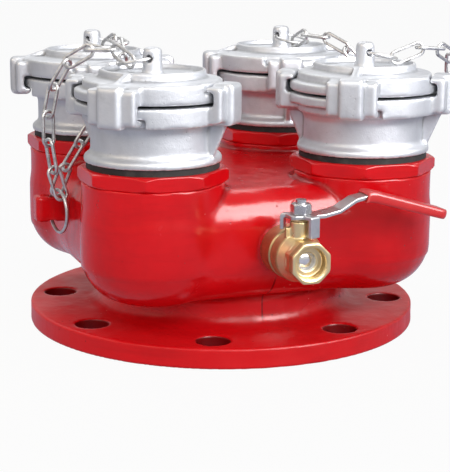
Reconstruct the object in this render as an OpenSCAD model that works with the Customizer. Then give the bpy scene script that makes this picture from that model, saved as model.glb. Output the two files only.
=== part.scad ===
// Four-inlet fire department connection: one cast body on a bolted base flange, four threaded bushes that
// carry claw couplings with blank caps on chains, a spring check valve under each inlet, and a drain ball valve.
// The origin is on the body's axis at the flange's underside, +Z is up and -Y is the side with the drain valve.

/* [Base flange] */
// Outside diameter of the base flange
flange_d = 280; // [270:1:300]
// Thickness of the base flange
flange_h = 14; // [12:0.5:18]
// Distance of each bolt hole's middle from the flange's rim
bolt_inset = 20; // [17:0.5:25]
// Number of bolt holes
bolt_count = 8; // [4:4:12]
// Diameter of each bolt hole
bolt_hole_d = 23; // [16:0.5:26]
// Bore of the outlet through the flange and the neck
outlet_d = 150; // [130:1:160]
// Wall thickness of the neck
neck_wall = 8; // [6:0.5:10]
// Fillet radius between the flange and the neck
neck_fillet = 15; // [8:1:18]

/* [Body] */
// Distance between the axes of neighbouring inlets
inlet_pitch = 152; // [148:1:160]
// Outside diameter of the barrel under each inlet
barrel_d = 95; // [94:0.5:98]
// How far the chamber's corners swell beyond the barrels
barrel_swell = 0.7; // [0.5:0.1:1.5]
// Depth of the hollow in the wall between two barrels
wall_recess = 8; // [5:0.5:11]
// Blend radius between a barrel and the wall beside it
blend_r = 28; // [20:1:34]
// Height of the chamber's underside above the flange's underside
chamber_z = 33; // [30:0.5:36]
// Height of the chamber's flat top
chamber_top_z = 112; // [108:0.5:114]
// Rounding of the chamber's lower edge
lower_edge_r = 27; // [20:1:29]
// Rounding of the chamber's upper edge
upper_edge_r = 14; // [10:1:18]
// Wall thickness of the chamber
chamber_wall = 7; // [5:0.5:9]
// Height of the barrels' top faces
barrel_top_z = 117.2; // [115.5:0.1:120]

/* [Chain lugs] */
// How far each lug stands out from the body's wall
lug_proud = 22.8; // [20:0.1:28]
// Width of the lug
lug_w = 13; // [12:0.5:16]
// Height of the lug
lug_h = 18.5; // [14:0.5:20]
// Height of the lug's middle
lug_z = 87.3; // [84:0.1:90]
// Diameter of the lug's upright hole
lug_hole_d = 7; // [6.6:0.1:7.6]
// Distance of the hole's middle from the lug's end
lug_hole_in = 11.5; // [10:0.5:13]
// Wire diameter of the lug's ring
lug_ring_wire = 2.5; // [2:0.1:2.7]
// Mean diameter of the lug's ring
lug_ring_d = 29.5; // [28:0.5:33]

/* [Inlet bush] */
// Width across the bush's eight flats
bush_flats = 93; // [91:0.5:96]
// Height of the eight-sided part
bush_h = 9.7; // [8:0.1:12]
// Diameter of the threaded spigots on the bush
spigot_d = 75; // [74:0.1:76]
// Length of the spigot that screws into the barrel
lower_spigot = 19; // [16:0.5:22]
// Length of the spigot that carries the coupling
upper_spigot = 19; // [14:0.5:22]
// Waterway through the bush and the coupling
waterway_d = 66; // [62:0.5:67]
// Thickness of the gasket between the bush and the coupling
gasket_h = 4.1; // [3:0.1:5]
// Outside diameter of that gasket
gasket_d = 88; // [84:0.5:90]

/* [Claw coupling] */
// Diameter of the coupling's foot
foot_d = 90.8; // [89:0.2:93]
// Diameter of the waist above the foot
waist_d = 82; // [81:0.5:84]
// Height from the foot's underside to the mating face
coupling_h = 39.5; // [37:0.5:42]
// Diameter of the ledge and of the full wall
ledge_d = 102; // [100:0.5:104]
// Diameter of the recess behind the ledge
recess_d = 91.4; // [89:0.2:93]
// Thickness of the ledge that the claws grip
ledge_h = 6.6; // [5.5:0.1:7.5]
// Height of the full wall
ring_h = 12.5; // [11:0.5:14]
// Gap between the two mating faces
face_gap = 1.7; // [1.4:0.1:2.2]
// Overall width of a claw
claw_w = 34; // [30:0.5:35]
// Width of the grip block in the middle of a claw
grip_w = 16; // [13:0.5:18]
// Radial reach of the claw's side blocks
claw_reach = 57; // [56:0.5:58]
// Radial reach of the grip block
grip_reach = 61; // [60:0.5:62.5]
// Thickness of the lip that hooks over the ledge
lip_t = 5.4; // [4.5:0.1:6]
// Play between the lip and the ledge
claw_play = 0.5; // [0.3:0.1:0.8]
// Angle between a claw and the stop beside it
stop_gap_deg = 6.5; // [4:0.5:8]
// Thickness of the gusset under each claw of the coupling
gusset_t = 4; // [3:0.5:6]

/* [Cap] */
// Height of the cap's shoulder above its mating face
shoulder_h = 13.3; // [13:0.1:14.5]
// Diameter of the raised disc
disc_d = 70; // [66:0.5:74]
// Height of the disc above the shoulder
disc_h = 5.5; // [4.5:0.1:6.5]
// Width of the disc's rim
disc_rim = 2; // [1.5:0.1:3]
// Depth of the dish inside the rim
dish_depth = 4; // [3:0.1:4.5]
// Thickness of the cap's plate under the dish
plate_t = 6; // [5:0.5:7]
// Diameter of the boss at its foot
boss_d = 13.6; // [13:0.1:14.4]
// Height of the boss's top above the disc's rim
boss_h = 13.8; // [12.5:0.1:15]
// Height of the boss's cross hole above the disc's rim
boss_hole_h = 6.5; // [6.2:0.1:7]
// Diameter of the boss's cross hole
boss_hole_d = 5; // [4.9:0.1:5.6]
// Thickness of the rib from the disc to each claw
rib_t = 4.5; // [3.5:0.1:6]
// Working turn of a cap from its stop, in degrees
cap_turn = 45; // [40:1:45]

/* [Rings and chains] */
// Wire diameter of the ring through a cap's boss
cap_ring_wire = 2.2; // [1.8:0.1:2.3]
// Mean diameter of that ring
cap_ring_d = 24.8; // [24:0.2:26]
// Slope of that ring
cap_ring_tilt = 12; // [11:0.5:13]
// Wire diameter of a chain link
link_wire = 2.4; // [2:0.1:2.5]
// Overall length of a chain link
link_l = 26; // [25:0.5:27]
// Overall width of a chain link
link_w = 11; // [10.5:0.1:11.5]

/* [Check valve] */
// Diameter of the valve disc
disc_valve_d = 72; // [70:0.5:73]
// Thickness of the valve disc
disc_valve_t = 6; // [4:0.5:8]
// Diameter of the valve's stem
check_stem_d = 10; // [8:0.5:12]
// Thickness of the spider's arms and rim
spider_t = 5; // [4:0.5:7]
// Length of the spring with the valve shut
spring_l = 30; // [28:1:33]
// Wire diameter of the spring
spring_wire = 2.4; // [2:0.1:2.6]
// Turns of the spring
spring_turns = 4.5; // [4:0.5:5]
// Height of the collar nut on the stem
collar_h = 6; // [5:0.5:8]

/* [Drain valve] */
// Height of the drain valve's axis
drain_z = 75; // [72:0.5:78]
// Distance from the body's wall to the valve's stem
drain_standoff = 30.8; // [29:0.1:34]
// Diameter of the ball
ball_d = 21; // [20:0.5:22]
// Waterway through the ball
ball_bore_d = 12; // [10:0.5:13]
// Diameter of the valve's barrel
drain_barrel_d = 33; // [32:0.5:36]
// Width across the flats of the outlet end
outlet_flats = 26; // [25:0.5:28]
// Distance from the stem to the outlet face
outlet_reach = 19.5; // [18:0.5:22]
// Diameter of the threaded outlet hole
drain_thread_d = 20.6; // [19:0.1:21]
// Diameter of the tower round the stem
tower_d = 13.6; // [13:0.2:15]
// Height of the tower's top above the valve's axis
tower_h = 24; // [22:0.5:25]
// Diameter of the stem
drain_stem_d = 7; // [6:0.1:7.2]

/* [Drain lever] */
// Height of the lever's flat above the valve's axis
lever_h = 26; // [25.5:0.5:28]
// Thickness of the lever's strip
lever_t = 2.5; // [2:0.1:3]
// Width of the lever's strip
lever_w = 15; // [12:0.5:16]
// Distance from the stem to the lever's highest point
lever_peak_x = 45; // [40:1:50]
// Rise of the lever at that point
lever_rise = 10.5; // [8:0.5:12]
// Distance from the stem to the grip's end
grip_end_x = 102; // [95:1:108]
// Drop of the grip's end below the lever's flat
grip_drop = 4; // [2:0.5:6]
// Thickness of the grip
grip_t = 6.5; // [5.5:0.5:9]
// Width of the grip at its end
grip_end_w = 19; // [17.5:0.5:21]

/* [Hidden] */

$fn = 96;

// Radial play of a screwed or pushed-in piece
seat_play = 0.05;
// Play between faces that move past each other
running_play = 0.2;
// Depth by which a cut runs past the face that it opens
cut = 1;
// Steps of a rounded corner
corner_steps = 4;
// Steps of a rounded edge of the chamber
edge_steps = 5;
// Steps of the blend between barrel and wall, and of the barrel's own arc
blend_steps = 3;
barrel_steps = 12;

FL = 0;
FR = 1;
BL = 2;
BR = 3;
// Side of each inlet: x sign, y sign
SIDES = [[-1, -1], [1, -1], [-1, 1], [1, 1]];
// Direction of one claw of each cap
CAP_DIRS = [-135, -124, 170, 166];
// Direction in which each chain leaves its cap
CHAIN_DIRS = [114, -14, -80, -84];
// Slack of each chain: angle on the lug's ring with 90 at its top, then reach, direction and slope of the
// pull on the curve at the second link, and reach, direction and slope of the pull at the ring
SLACK = [
    [60, 55, 130, 5, 55, 165, 70],
    [50, 85, 15, 0, 25, 35, 90],
    [105, 85, -85, 0, 20, -100, 100],
    [105, 75, -65, 5, 25, 75, 60],
];

neck_d = outlet_d + 2 * neck_wall;
bolt_circle_d = flange_d - 2 * bolt_inset;
corner = inlet_pitch / 2;
corner_r = barrel_d / 2 + barrel_swell;
wall_x = corner + corner_r - wall_recess;
lug_reach = wall_x + lug_proud;
lug_hole_x = lug_reach - lug_hole_in;
drain_stem_y = wall_x + drain_standoff;
bush_z = barrel_top_z;
gasket_z = bush_z + bush_h;
foot_z = gasket_z + gasket_h;
mating_z = foot_z + coupling_h;
cap_z = mating_z + face_gap;
ring_z = mating_z - ring_h;
shoulder_z = cap_z + shoulder_h;
disc_z = shoulder_z + disc_h;
dish_z = disc_z - dish_depth;
boss_hole_z = disc_z + boss_hole_h;
ledge_r = ledge_d / 2;
recess_r = recess_d / 2;
waterway_r = waterway_d / 2;
spigot_r = spigot_d / 2;
claw_half_deg = asin(claw_w / 2 / grip_reach);
wall_start_deg = 90 + claw_half_deg + stop_gap_deg;

// Seals of the coupling
seal_inner_r = waterway_r + 1;
seal_outer_r = waterway_r + 7;
seal_depth = 4;

// Check valve
seat_lip = 2;
seat_r = waterway_r - seat_lip;
seat_z = bush_z - lower_spigot;
shoulder_in_z = seat_z + 8;
spider_z = shoulder_in_z;
spring_z = spider_z + spider_t;
collar_z = spring_z + spring_l;
valve_seal_w = 4.5;
valve_seal_h = 3.8;
valve_groove = 2;
valve_top_z = seat_z - running_play - valve_seal_h + valve_groove;
hub_r = check_stem_d / 2 + 5.5;
spring_mean_r = check_stem_d / 2 + spring_wire / 2 + 1.5;

// Drain valve: s runs from the stem along the valve's axis towards its outlet
ball_r = ball_d / 2;
ball_bore_r = ball_bore_d / 2;
chamber_r = ball_r + 0.7;
seat_s = 7.5;
seat_l = 3.4;
seat_ring_r = ball_r - 0.8;
joint_s = 11.5;
retainer_s = drain_stem_y - wall_x - 1.3;
retainer_thread_r = 13;
nipple_r = drain_thread_d / 2 - 0.05;
nipple_in = 13;
nipple_grip = 12;
drain_thread_r = drain_thread_d / 2;
drain_stem_r = drain_stem_d / 2;
collar_r = drain_stem_r + 2;
packing_r = drain_stem_r + 1.8;
lever_z = drain_z + lever_h;

// Chain
link_in = link_l - 2 * link_wire;
link_play = 1;
link_pitch = link_in - link_play;
bend_r = (link_w - link_wire) / 2;
link_straight = link_l - link_w;
first_link_rho = 20;
first_link_drop = 4.6;
first_link_slope = 22;
ring_shift = 1.1;

function at(i) = [SIDES[i].x * corner, SIDES[i].y * corner, 0];

// Points on an arc from angle a0 to a1
function arc(c, r, a0, a1, steps) =
    [for (k = [0:steps]) let (a = a0 + (a1 - a0) * k / steps) c + r * [cos(a), sin(a)]];

// Corners of an outline rounded: each point is x, y and its radius
function unit(v) = v / norm(v);
function rounded(pts, steps = corner_steps) =
    let (n = len(pts))
    [for (i = [0:n - 1])
        let (p = [pts[i].x, pts[i].y],
             r = pts[i].z,
             before = [pts[(i + n - 1) % n].x, pts[(i + n - 1) % n].y],
             after = [pts[(i + 1) % n].x, pts[(i + 1) % n].y],
             u = unit(before - p),
             v = unit(after - p),
             half = acos(max(-1, min(1, u * v))) / 2)
        each (r == 0 ? [p] :
            let (c = p + unit(u + v) * r / sin(half),
                 a0 = atan2(p.y + u.y * r / tan(half) - c.y, p.x + u.x * r / tan(half) - c.x),
                 a1 = atan2(p.y + v.y * r / tan(half) - c.y, p.x + v.x * r / tan(half) - c.x),
                 turn = (a1 - a0 + 540) % 360 - 180)
            arc(c, r, a0, a0 + turn, steps))];

// An outline in the plane of x and z, made solid across y
module slab(pts, w) {
    rotate([90, 0, 0])
        translate([0, 0, -w / 2])
            linear_extrude(w)
                polygon(pts);
}

module ring(outer_r, inner_r, z, h) {
    translate([0, 0, z])
        difference() {
            cylinder(r = outer_r, h = h);
            translate([0, 0, -cut])
                cylinder(r = inner_r, h = h + 2 * cut);
        }
}

// Outline of the chamber drawn in by d: four barrels joined by hollowed walls
function quarter(d) =
    let (side = wall_x + blend_r - corner,
         along = sqrt(pow(corner_r + blend_r, 2) - side * side),
         blend_y = corner - along,
         turn = atan2(along, side))
    concat(
        arc([wall_x + blend_r, blend_y], blend_r + d, 180, 180 - turn, blend_steps),
        [for (p = arc([corner, corner], corner_r - d, -turn, 90 + turn, barrel_steps)) p],
        arc([blend_y, wall_x + blend_r], blend_r + d, 270 + turn, 270, blend_steps));

function drop_doubles(pts) =
    [for (i = [0:len(pts) - 1]) if (norm(pts[i] - pts[(i + 1) % len(pts)]) > 0.001) pts[i]];

function outline(d) =
    drop_doubles([for (q = [0:3]) each [for (p = quarter(d)) [
        p.x * cos(90 * q) - p.y * sin(90 * q),
        p.x * sin(90 * q) + p.y * cos(90 * q)]]]);

// The pillow shape of the chamber as rings of the outline, with rounded lower and upper edges. Its first and
// last rings lie past z0 and z1, so that the flats there are cut as single planes.
module pillow(z0, z1, d0, lower_r, upper_r) {
    past = 0.8;
    reach = corner + corner_r + cut;
    stations = concat(
        [[d0 + lower_r, z0 - past]],
        [for (k = [1:edge_steps]) let (a = 90 * k / edge_steps)
            [d0 + lower_r * (1 - sin(a)), z0 + lower_r * (1 - cos(a))]],
        [for (k = [0:edge_steps - 1]) let (a = 90 - 90 * k / edge_steps)
            [d0 + upper_r * (1 - sin(a)), z1 - upper_r * (1 - cos(a))]],
        [[d0 + upper_r, z1 + past]]);
    rings = [for (s = stations) [for (p = outline(s[0])) [p.x, p.y, s[1]]]];
    n = len(rings[0]);
    m = len(rings);
    intersection() {
        polyhedron(
            points = [for (r = rings) each r],
            faces = concat(
                [[for (i = [0:n - 1]) i]],
                [for (j = [0:m - 2]) for (i = [0:n - 1]) let (k = (i + 1) % n)
                    each [[j * n + i, (j + 1) * n + i, (j + 1) * n + k],
                          [j * n + i, (j + 1) * n + k, j * n + k]]],
                [[for (i = [n - 1:-1:0]) (m - 1) * n + i]]));
        translate([-reach, -reach, z0])
            cube([2 * reach, 2 * reach, z1 - z0]);
    }
}

module flange_and_neck() {
    edge = 1.2;
    top_z = chamber_z + chamber_wall / 2;
    rotate_extrude()
        polygon(concat(
            [[0, 0], [flange_d / 2 - edge, 0], [flange_d / 2, edge],
             [flange_d / 2, flange_h - edge], [flange_d / 2 - edge, flange_h]],
            arc([neck_d / 2 + neck_fillet, flange_h + neck_fillet], neck_fillet, 270, 180, edge_steps),
            [[neck_d / 2, top_z], [0, top_z]]));
}

module chain_lug(side) {
    root = 6;
    end_r = 4;
    mirror([side < 0 ? 1 : 0, 0, 0])
        translate([0, 0, lug_z - lug_h / 2])
            linear_extrude(lug_h)
                polygon(rounded([
                    [wall_x - root, -lug_w / 2, 0], [lug_reach, -lug_w / 2, end_r],
                    [lug_reach, lug_w / 2, end_r], [wall_x - root, lug_w / 2, 0]]));
}

module along_drain(s) {
    translate([0, -drain_stem_y - s, drain_z])
        rotate([90, 0, 0])
            children();
}

module body_casting() {
    bore_r = spigot_r + seat_play;
    root_z = chamber_z + lower_edge_r;
    pad_r = 15;
    color("firebrick")
        difference() {
            union() {
                flange_and_neck();
                pillow(chamber_z, chamber_top_z, 0, lower_edge_r, upper_edge_r);
                for (i = [FL:BR])
                    translate(at(i) + [0, 0, root_z])
                        cylinder(r = barrel_d / 2, h = barrel_top_z - root_z);
                for (side = [-1, 1])
                    chain_lug(side);
                along_drain(-drain_stem_y + wall_x - chamber_wall / 2)
                    cylinder(r = pad_r, h = chamber_wall / 2 + 1);
            }
            pillow(chamber_z + chamber_wall, chamber_top_z - chamber_wall, chamber_wall,
                lower_edge_r - chamber_wall, upper_edge_r - chamber_wall);
            translate([0, 0, -cut])
                cylinder(r = outlet_d / 2, h = chamber_z + chamber_wall + 2 * cut);
            for (i = [FL:BR])
                translate(at(i) + [0, 0, seat_z - 1])
                    cylinder(r = bore_r, h = lower_spigot + 1 + cut);
            for (k = [0:bolt_count - 1])
                rotate(360 / bolt_count * (k + 0.5))
                    translate([bolt_circle_d / 2, 0, -cut])
                        cylinder(d = bolt_hole_d, h = flange_h + 2 * cut);
            for (side = [-1, 1])
                translate([side * lug_hole_x, 0, lug_z - lug_h / 2 - cut])
                    cylinder(d = lug_hole_d, h = lug_h + 2 * cut);
            along_drain(-drain_stem_y + wall_x - chamber_wall - 2)
                cylinder(r = drain_thread_r, h = chamber_wall + 4 + cut);
        }
}

module inlet_bush(i) {
    corner_cut = 2.2;
    flats_r = bush_flats / 2;
    points_r = flats_r / cos(22.5);
    color("firebrick")
        translate(at(i))
            difference() {
                union() {
                    intersection() {
                        translate([0, 0, bush_z])
                            rotate(22.5)
                                cylinder(r = points_r, h = bush_h, $fn = 8);
                        rotate_extrude()
                            polygon([
                                [0, bush_z], [flats_r + 0.6, bush_z], [points_r + 1, bush_z + corner_cut],
                                [points_r + 1, gasket_z - corner_cut], [flats_r + 0.6, gasket_z],
                                [0, gasket_z]]);
                    }
                    translate([0, 0, seat_z])
                        cylinder(r = spigot_r, h = lower_spigot + bush_h + upper_spigot);
                }
                translate([0, 0, seat_z - cut])
                    cylinder(r = seat_r, h = lower_spigot);
                translate([0, 0, shoulder_in_z])
                    cylinder(r = waterway_r, h = lower_spigot + bush_h + upper_spigot);
            }
}

module coupling_gaskets() {
    color("black")
        for (i = [FL:BR])
            translate(at(i))
                ring(gasket_d / 2, spigot_r + seat_play, gasket_z, gasket_h);
}

module coupling_seals() {
    proud = face_gap / 2 - seat_play;
    color("dimgray")
        for (i = [FL:BR])
            translate(at(i))
                ring(seal_outer_r - seat_play, seal_inner_r, mating_z - seal_depth, seal_depth + proud);
}

// One claw of a coupling half: its mating face is at z = 0 and the claw reaches up over the other half's ledge
module claw() {
    lip_z = face_gap + ledge_h + claw_play;
    top = lip_z + lip_t;
    foot = sqrt(recess_r * recess_r - claw_w * claw_w / 4) - 1;
    notch_r = ledge_r + claw_play;
    lip_r = recess_r + 0.9;
    step = 2;
    soft = 2.5;
    far = -ring_h - 0.4;
    intersection() {
        slab(rounded([
            [foot, -ring_h + step, 0], [claw_reach, -ring_h + step, soft], [claw_reach, top - step, soft],
            [lip_r, top - step, 1], [lip_r, lip_z, 0.6], [notch_r, lip_z, 0], [notch_r, 0, 0],
            [foot, 0, 0]]), claw_w);
        translate([0, 0, -ring_h])
            linear_extrude(ring_h + top)
                polygon(rounded([
                    [0, -claw_w / 2, 0], [claw_reach, -claw_w / 2, soft],
                    [claw_reach, claw_w / 2, soft], [0, claw_w / 2, 0]]));
    }
    intersection() {
        slab(rounded([
            [foot, far, 0], [grip_reach, far, soft + 1], [grip_reach, top, soft + 1],
            [lip_r, top, soft], [lip_r, lip_z, 0.6], [notch_r, lip_z, 0], [notch_r, 0, 0],
            [foot, 0, 0]]), grip_w);
        translate([0, 0, far])
            linear_extrude(top - far)
                polygon(rounded([
                    [0, -grip_w / 2, 0], [grip_reach, -grip_w / 2, soft],
                    [grip_reach, grip_w / 2, soft], [0, grip_w / 2, 0]]));
    }
}

// The claw ring that both halves share: full wall with its stops, ledges over a recess, and two claws
module claw_ring() {
    difference() {
        translate([0, 0, -ring_h])
            cylinder(r = ledge_r, h = ring_h);
        for (turn = [0, 180])
            rotate([0, 0, turn + 3])
                rotate_extrude(angle = wall_start_deg - 3)
                    translate([recess_r, -ring_h - cut])
                        square([ledge_r - recess_r + cut, ring_h - ledge_h + cut]);
    }
    for (turn = [0, 180])
        rotate(turn)
            claw();
}

module coupling(i) {
    foot_edge = 3.6;
    foot_r = foot_d / 2;
    waist_r = waist_d / 2;
    thread_top = foot_z + upper_spigot - gasket_h + 1;
    color("gainsboro")
        translate(at(i))
            difference() {
                union() {
                    rotate_extrude()
                        polygon([
                            [0, foot_z], [foot_r, foot_z], [foot_r, foot_z + foot_edge],
                            [foot_r - 1.4, foot_z + foot_edge + 1.2], [waist_r + 1.2, foot_z + foot_edge + 2.2],
                            [waist_r, foot_z + foot_edge + 4.4], [waist_r, ring_z - 5],
                            [waist_r + 1.2, ring_z - 1.6], [recess_r - 0.8, ring_z + 1.2],
                            [recess_r - 0.8, ring_z + 3], [0, ring_z + 3]]);
                    translate([0, 0, mating_z])
                        rotate(CAP_DIRS[i] + 90)
                            claw_ring();
                    for (turn = [90, 270])
                        rotate(CAP_DIRS[i] + turn)
                            slab([
                                [waterway_r + 5, foot_z + foot_edge], [foot_r - 1.5, foot_z + foot_edge],
                                [claw_reach - 1.5, ring_z + 4], [waterway_r + 5, ring_z + 4]], gusset_t);
                }
                translate([0, 0, foot_z - cut])
                    cylinder(r = spigot_r + seat_play, h = thread_top - foot_z + cut);
                translate([0, 0, foot_z])
                    cylinder(r = waterway_r, h = coupling_h + cut);
                translate([0, 0, mating_z - seal_depth])
                    cylinder(r = seal_outer_r, h = seal_depth + cut);
            }
}

module cap(i) {
    boss_r = boss_d / 2;
    taper = 0.5;
    disc_r = disc_d / 2;
    shoulder_r = recess_r + 0.3;
    inner_z = dish_z - plate_t;
    boss_top = disc_z + boss_h;
    color("gainsboro")
        translate(at(i))
            rotate(CAP_DIRS[i])
                difference() {
                    union() {
                        translate([0, 0, cap_z])
                            rotate([180, 0, 0])
                                claw_ring();
                        rotate_extrude()
                            polygon(concat(
                                [[0, cap_z + 1], [recess_r - 0.5, cap_z + 1],
                                 [recess_r - 0.5, cap_z + ring_h - 1.5], [shoulder_r - 1.5, shoulder_z - 0.6],
                                 [disc_r + 1, shoulder_z], [disc_r, shoulder_z + 1], [disc_r, disc_z - 0.8],
                                 [disc_r - 0.8, disc_z], [disc_r - disc_rim, disc_z],
                                 [disc_r - disc_rim - 1.5, dish_z], [boss_r + 1.5, dish_z],
                                 [boss_r, dish_z + 1.5]],
                                arc([boss_r - taper - 3, boss_top - 3], 3, 0, 90, corner_steps),
                                [[0, boss_top]]));
                        for (turn = [0, 180])
                            rotate(turn)
                                slab([
                                    [disc_r - disc_rim, dish_z - 2], [disc_r - disc_rim, disc_z - 0.3],
                                    [disc_r, disc_z - 0.3], [claw_reach - 3, cap_z + ring_h - 0.6],
                                    [claw_reach - 3, cap_z + ring_h - 5], [recess_r - 7, cap_z + ring_h - 5]], rib_t);
                    }
                    translate([0, 0, cap_z - cut])
                        cylinder(r = waterway_r, h = inner_z - cap_z + cut);
                    translate([0, 0, cap_z - cut])
                        cylinder(r = seal_outer_r, h = seal_depth + cut);
                    translate([0, 0, boss_hole_z])
                        rotate([0, 0, CHAIN_DIRS[i] + cap_turn / 2 - CAP_DIRS[i]])
                            rotate([90, 0, 0])
                                translate([0, 0, -boss_d])
                                    cylinder(d = boss_hole_d, h = 2 * boss_d, $fn = 32);
                }
}

module cap_seal(i) {
    proud = face_gap / 2 - running_play / 2;
    color("dimgray")
        translate(at(i))
            ring(seal_outer_r - seat_play, seal_inner_r, cap_z - proud, seal_depth + proud);
}

module torus(mean_r, wire_r) {
    rotate_extrude($fn = 64)
        translate([mean_r, 0])
            circle(r = wire_r, $fn = 20);
}

// The ring hangs through the cross hole and slopes down towards the chain
module cap_ring(i) {
    color("silver")
        translate(at(i) + [0, 0, boss_hole_z])
            rotate([0, cap_ring_tilt, CHAIN_DIRS[i] + cap_turn / 2])
                translate([cap_ring_d / 2 - ring_shift, 0, 0])
                    torus(cap_ring_d / 2, cap_ring_wire / 2);
}

// One link lies along x with its middle at the origin and its bends in the plane of x and y
module link() {
    for (turn = [0, 180])
        rotate(turn) {
            translate([link_straight / 2, 0, 0])
                rotate(-90)
                    rotate_extrude(angle = 180, $fn = 48)
                        translate([bend_r, 0])
                            circle(d = link_wire, $fn = 16);
            translate([-link_straight / 2, bend_r, 0])
                rotate([0, 90, 0])
                    cylinder(d = link_wire, h = link_straight, $fn = 16);
        }
}

function heading(az, el) = [cos(el) * cos(az), cos(el) * sin(az), sin(el)];
// Points at equal chords c along a curve through the control points p
function bezier(p, t) =
    pow(1 - t, 3) * p[0] + 3 * pow(1 - t, 2) * t * p[1] + 3 * (1 - t) * t * t * p[2] + t * t * t * p[3];
function chord_end(p, from, c, lo, hi, k = 0) =
    let (mid = (lo + hi) / 2)
    k == 24 ? mid : (norm(bezier(p, mid) - from) < c ? chord_end(p, from, c, mid, hi, k + 1)
                                                     : chord_end(p, from, c, lo, mid, k + 1));
function chord_ends(p, c, n, t = 0) =
    n == 0 ? [t] : concat([t], chord_ends(p, c, n - 1, chord_end(p, bezier(p, t), c, t, 1.6)));
function fitted_chord(p, n, lo, hi, k = 0) =
    let (mid = (lo + hi) / 2)
    k == 24 ? mid : (chord_ends(p, mid, n)[n] < 1 ? fitted_chord(p, n, mid, hi, k + 1)
                                                  : fitted_chord(p, n, lo, mid, k + 1));
function curve_length(p, steps = 40) =
    let (d = [for (k = [1:steps]) norm(bezier(p, k / steps) - bezier(p, (k - 1) / steps))])
    d * [for (k = [1:steps]) 1];
function chain_run(p) =
    let (len_p = curve_length(p), n = ceil(len_p / (link_pitch + 0.25)),
         c = fitted_chord(p, n, 0.5 * len_p / n, 1.05 * len_p / n))
    [for (t = chord_ends(p, c, n)) bezier(p, t)];

function lug_side(i) = SIDES[i].x;
lug_ring_dir = -80;
function lug_ring_mid(side) =
    let (sink = 1.3)
    [side * (lug_hole_x - (lug_ring_d / 2 - sink) * cos(lug_ring_dir)),
     (lug_ring_d / 2 - sink) * sin(lug_ring_dir), lug_z];
function lug_ring_dir_of(side) = side < 0 ? lug_ring_dir : 180 - lug_ring_dir;

// Where a chain's last link hangs on the lug's ring
function ring_point(i) =
    let (a = SLACK[i][0], r = lug_ring_d / 2 - lug_ring_wire / 2 - link_play / 2,
         d = heading(lug_ring_dir_of(lug_side(i)), 0))
    lug_ring_mid(lug_side(i)) + d * r * cos(a) + [0, 0, r * sin(a)];

// A chain's first link stands on edge on the cap's ring, and the rest follow a slack curve to the lug's ring
function chain_points(i) =
    let (start = at(i) + first_link_rho * heading(CHAIN_DIRS[i], 0) + [0, 0, boss_hole_z - first_link_drop],
         next = start + link_pitch * heading(CHAIN_DIRS[i], first_link_slope),
         s = SLACK[i],
         end = ring_point(i))
    concat([start], chain_run([next, next + s[1] * heading(s[2], s[3]), end + s[4] * heading(s[5], s[6]), end]));

// Each link's width lies square to the width of the link before it, turned by twist
function across(u, w, twist) = let (v = unit(cross(u, w))) v * cos(twist) + cross(u, v) * sin(twist);
function widths(u, twist, k = 0, w = [0, 0, 1]) =
    let (here = k == 0 ? unit(w - u[0] * (u[0] * w)) : across(u[k], w, twist))
    k == len(u) - 1 ? [here] : concat([here], widths(u, twist, k + 1, here));

module chain(i) {
    pts = chain_points(i);
    n = len(pts) - 1;
    u = [for (k = [0:n - 1]) unit(pts[k + 1] - pts[k])];
    side_dir = heading(lug_ring_dir_of(lug_side(i)) - 90, 0);
    last = widths(u, 0)[n - 1];
    goal = unit(side_dir - u[n - 1] * (u[n - 1] * side_dir));
    off = (atan2(cross(last, goal) * u[n - 1], last * goal) + 450) % 180 - 90;
    w = widths(u, off / (n - 1));
    color("silver")
        for (k = [0:n - 1]) {
            v = cross(u[k], w[k]);
            m = (pts[k] + pts[k + 1]) / 2;
            multmatrix([
                [u[k].x, w[k].x, v.x, m.x],
                [u[k].y, w[k].y, v.y, m.y],
                [u[k].z, w[k].z, v.z, m.z]])
                link();
        }
}

module lug_ring(side) {
    color("silver")
        translate(lug_ring_mid(side))
            rotate([90, 0, lug_ring_dir_of(side)])
                torus(lug_ring_d / 2, lug_ring_wire / 2);
}

module check_spiders() {
    rim_r = waterway_r - seat_play;
    rim_w = 3;
    color("tan")
        for (i = [FL:BR])
            translate(at(i))
                difference() {
                    union() {
                        ring(rim_r, rim_r - rim_w, spider_z, spider_t);
                        translate([0, 0, spider_z])
                            cylinder(r = hub_r, h = spider_t);
                        for (turn = [0, 120, 240])
                            rotate(turn)
                                translate([0, -spider_t / 2, spider_z])
                                    cube([rim_r - rim_w / 2, spider_t, spider_t]);
                    }
                    translate([0, 0, spider_z - cut])
                        cylinder(r = check_stem_d / 2 + seat_play, h = spider_t + 2 * cut);
                }
}

module check_disc(i) {
    tip = 4;
    seal_r = seat_r + valve_seal_w;
    color("goldenrod")
        translate(at(i))
            difference() {
                union() {
                    translate([0, 0, valve_top_z - disc_valve_t])
                        cylinder(d = disc_valve_d, h = disc_valve_t);
                    translate([0, 0, valve_top_z - disc_valve_t])
                        cylinder(d = check_stem_d,
                            h = collar_z + collar_h + tip - valve_top_z + disc_valve_t);
                }
                ring(seal_r + seat_play, seat_r - seat_play, valve_top_z - valve_groove, valve_groove + cut);
            }
}

module check_seal(i) {
    color("black")
        translate(at(i))
            ring(seat_r + valve_seal_w, seat_r, valve_top_z - valve_groove, valve_seal_h);
}

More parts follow.
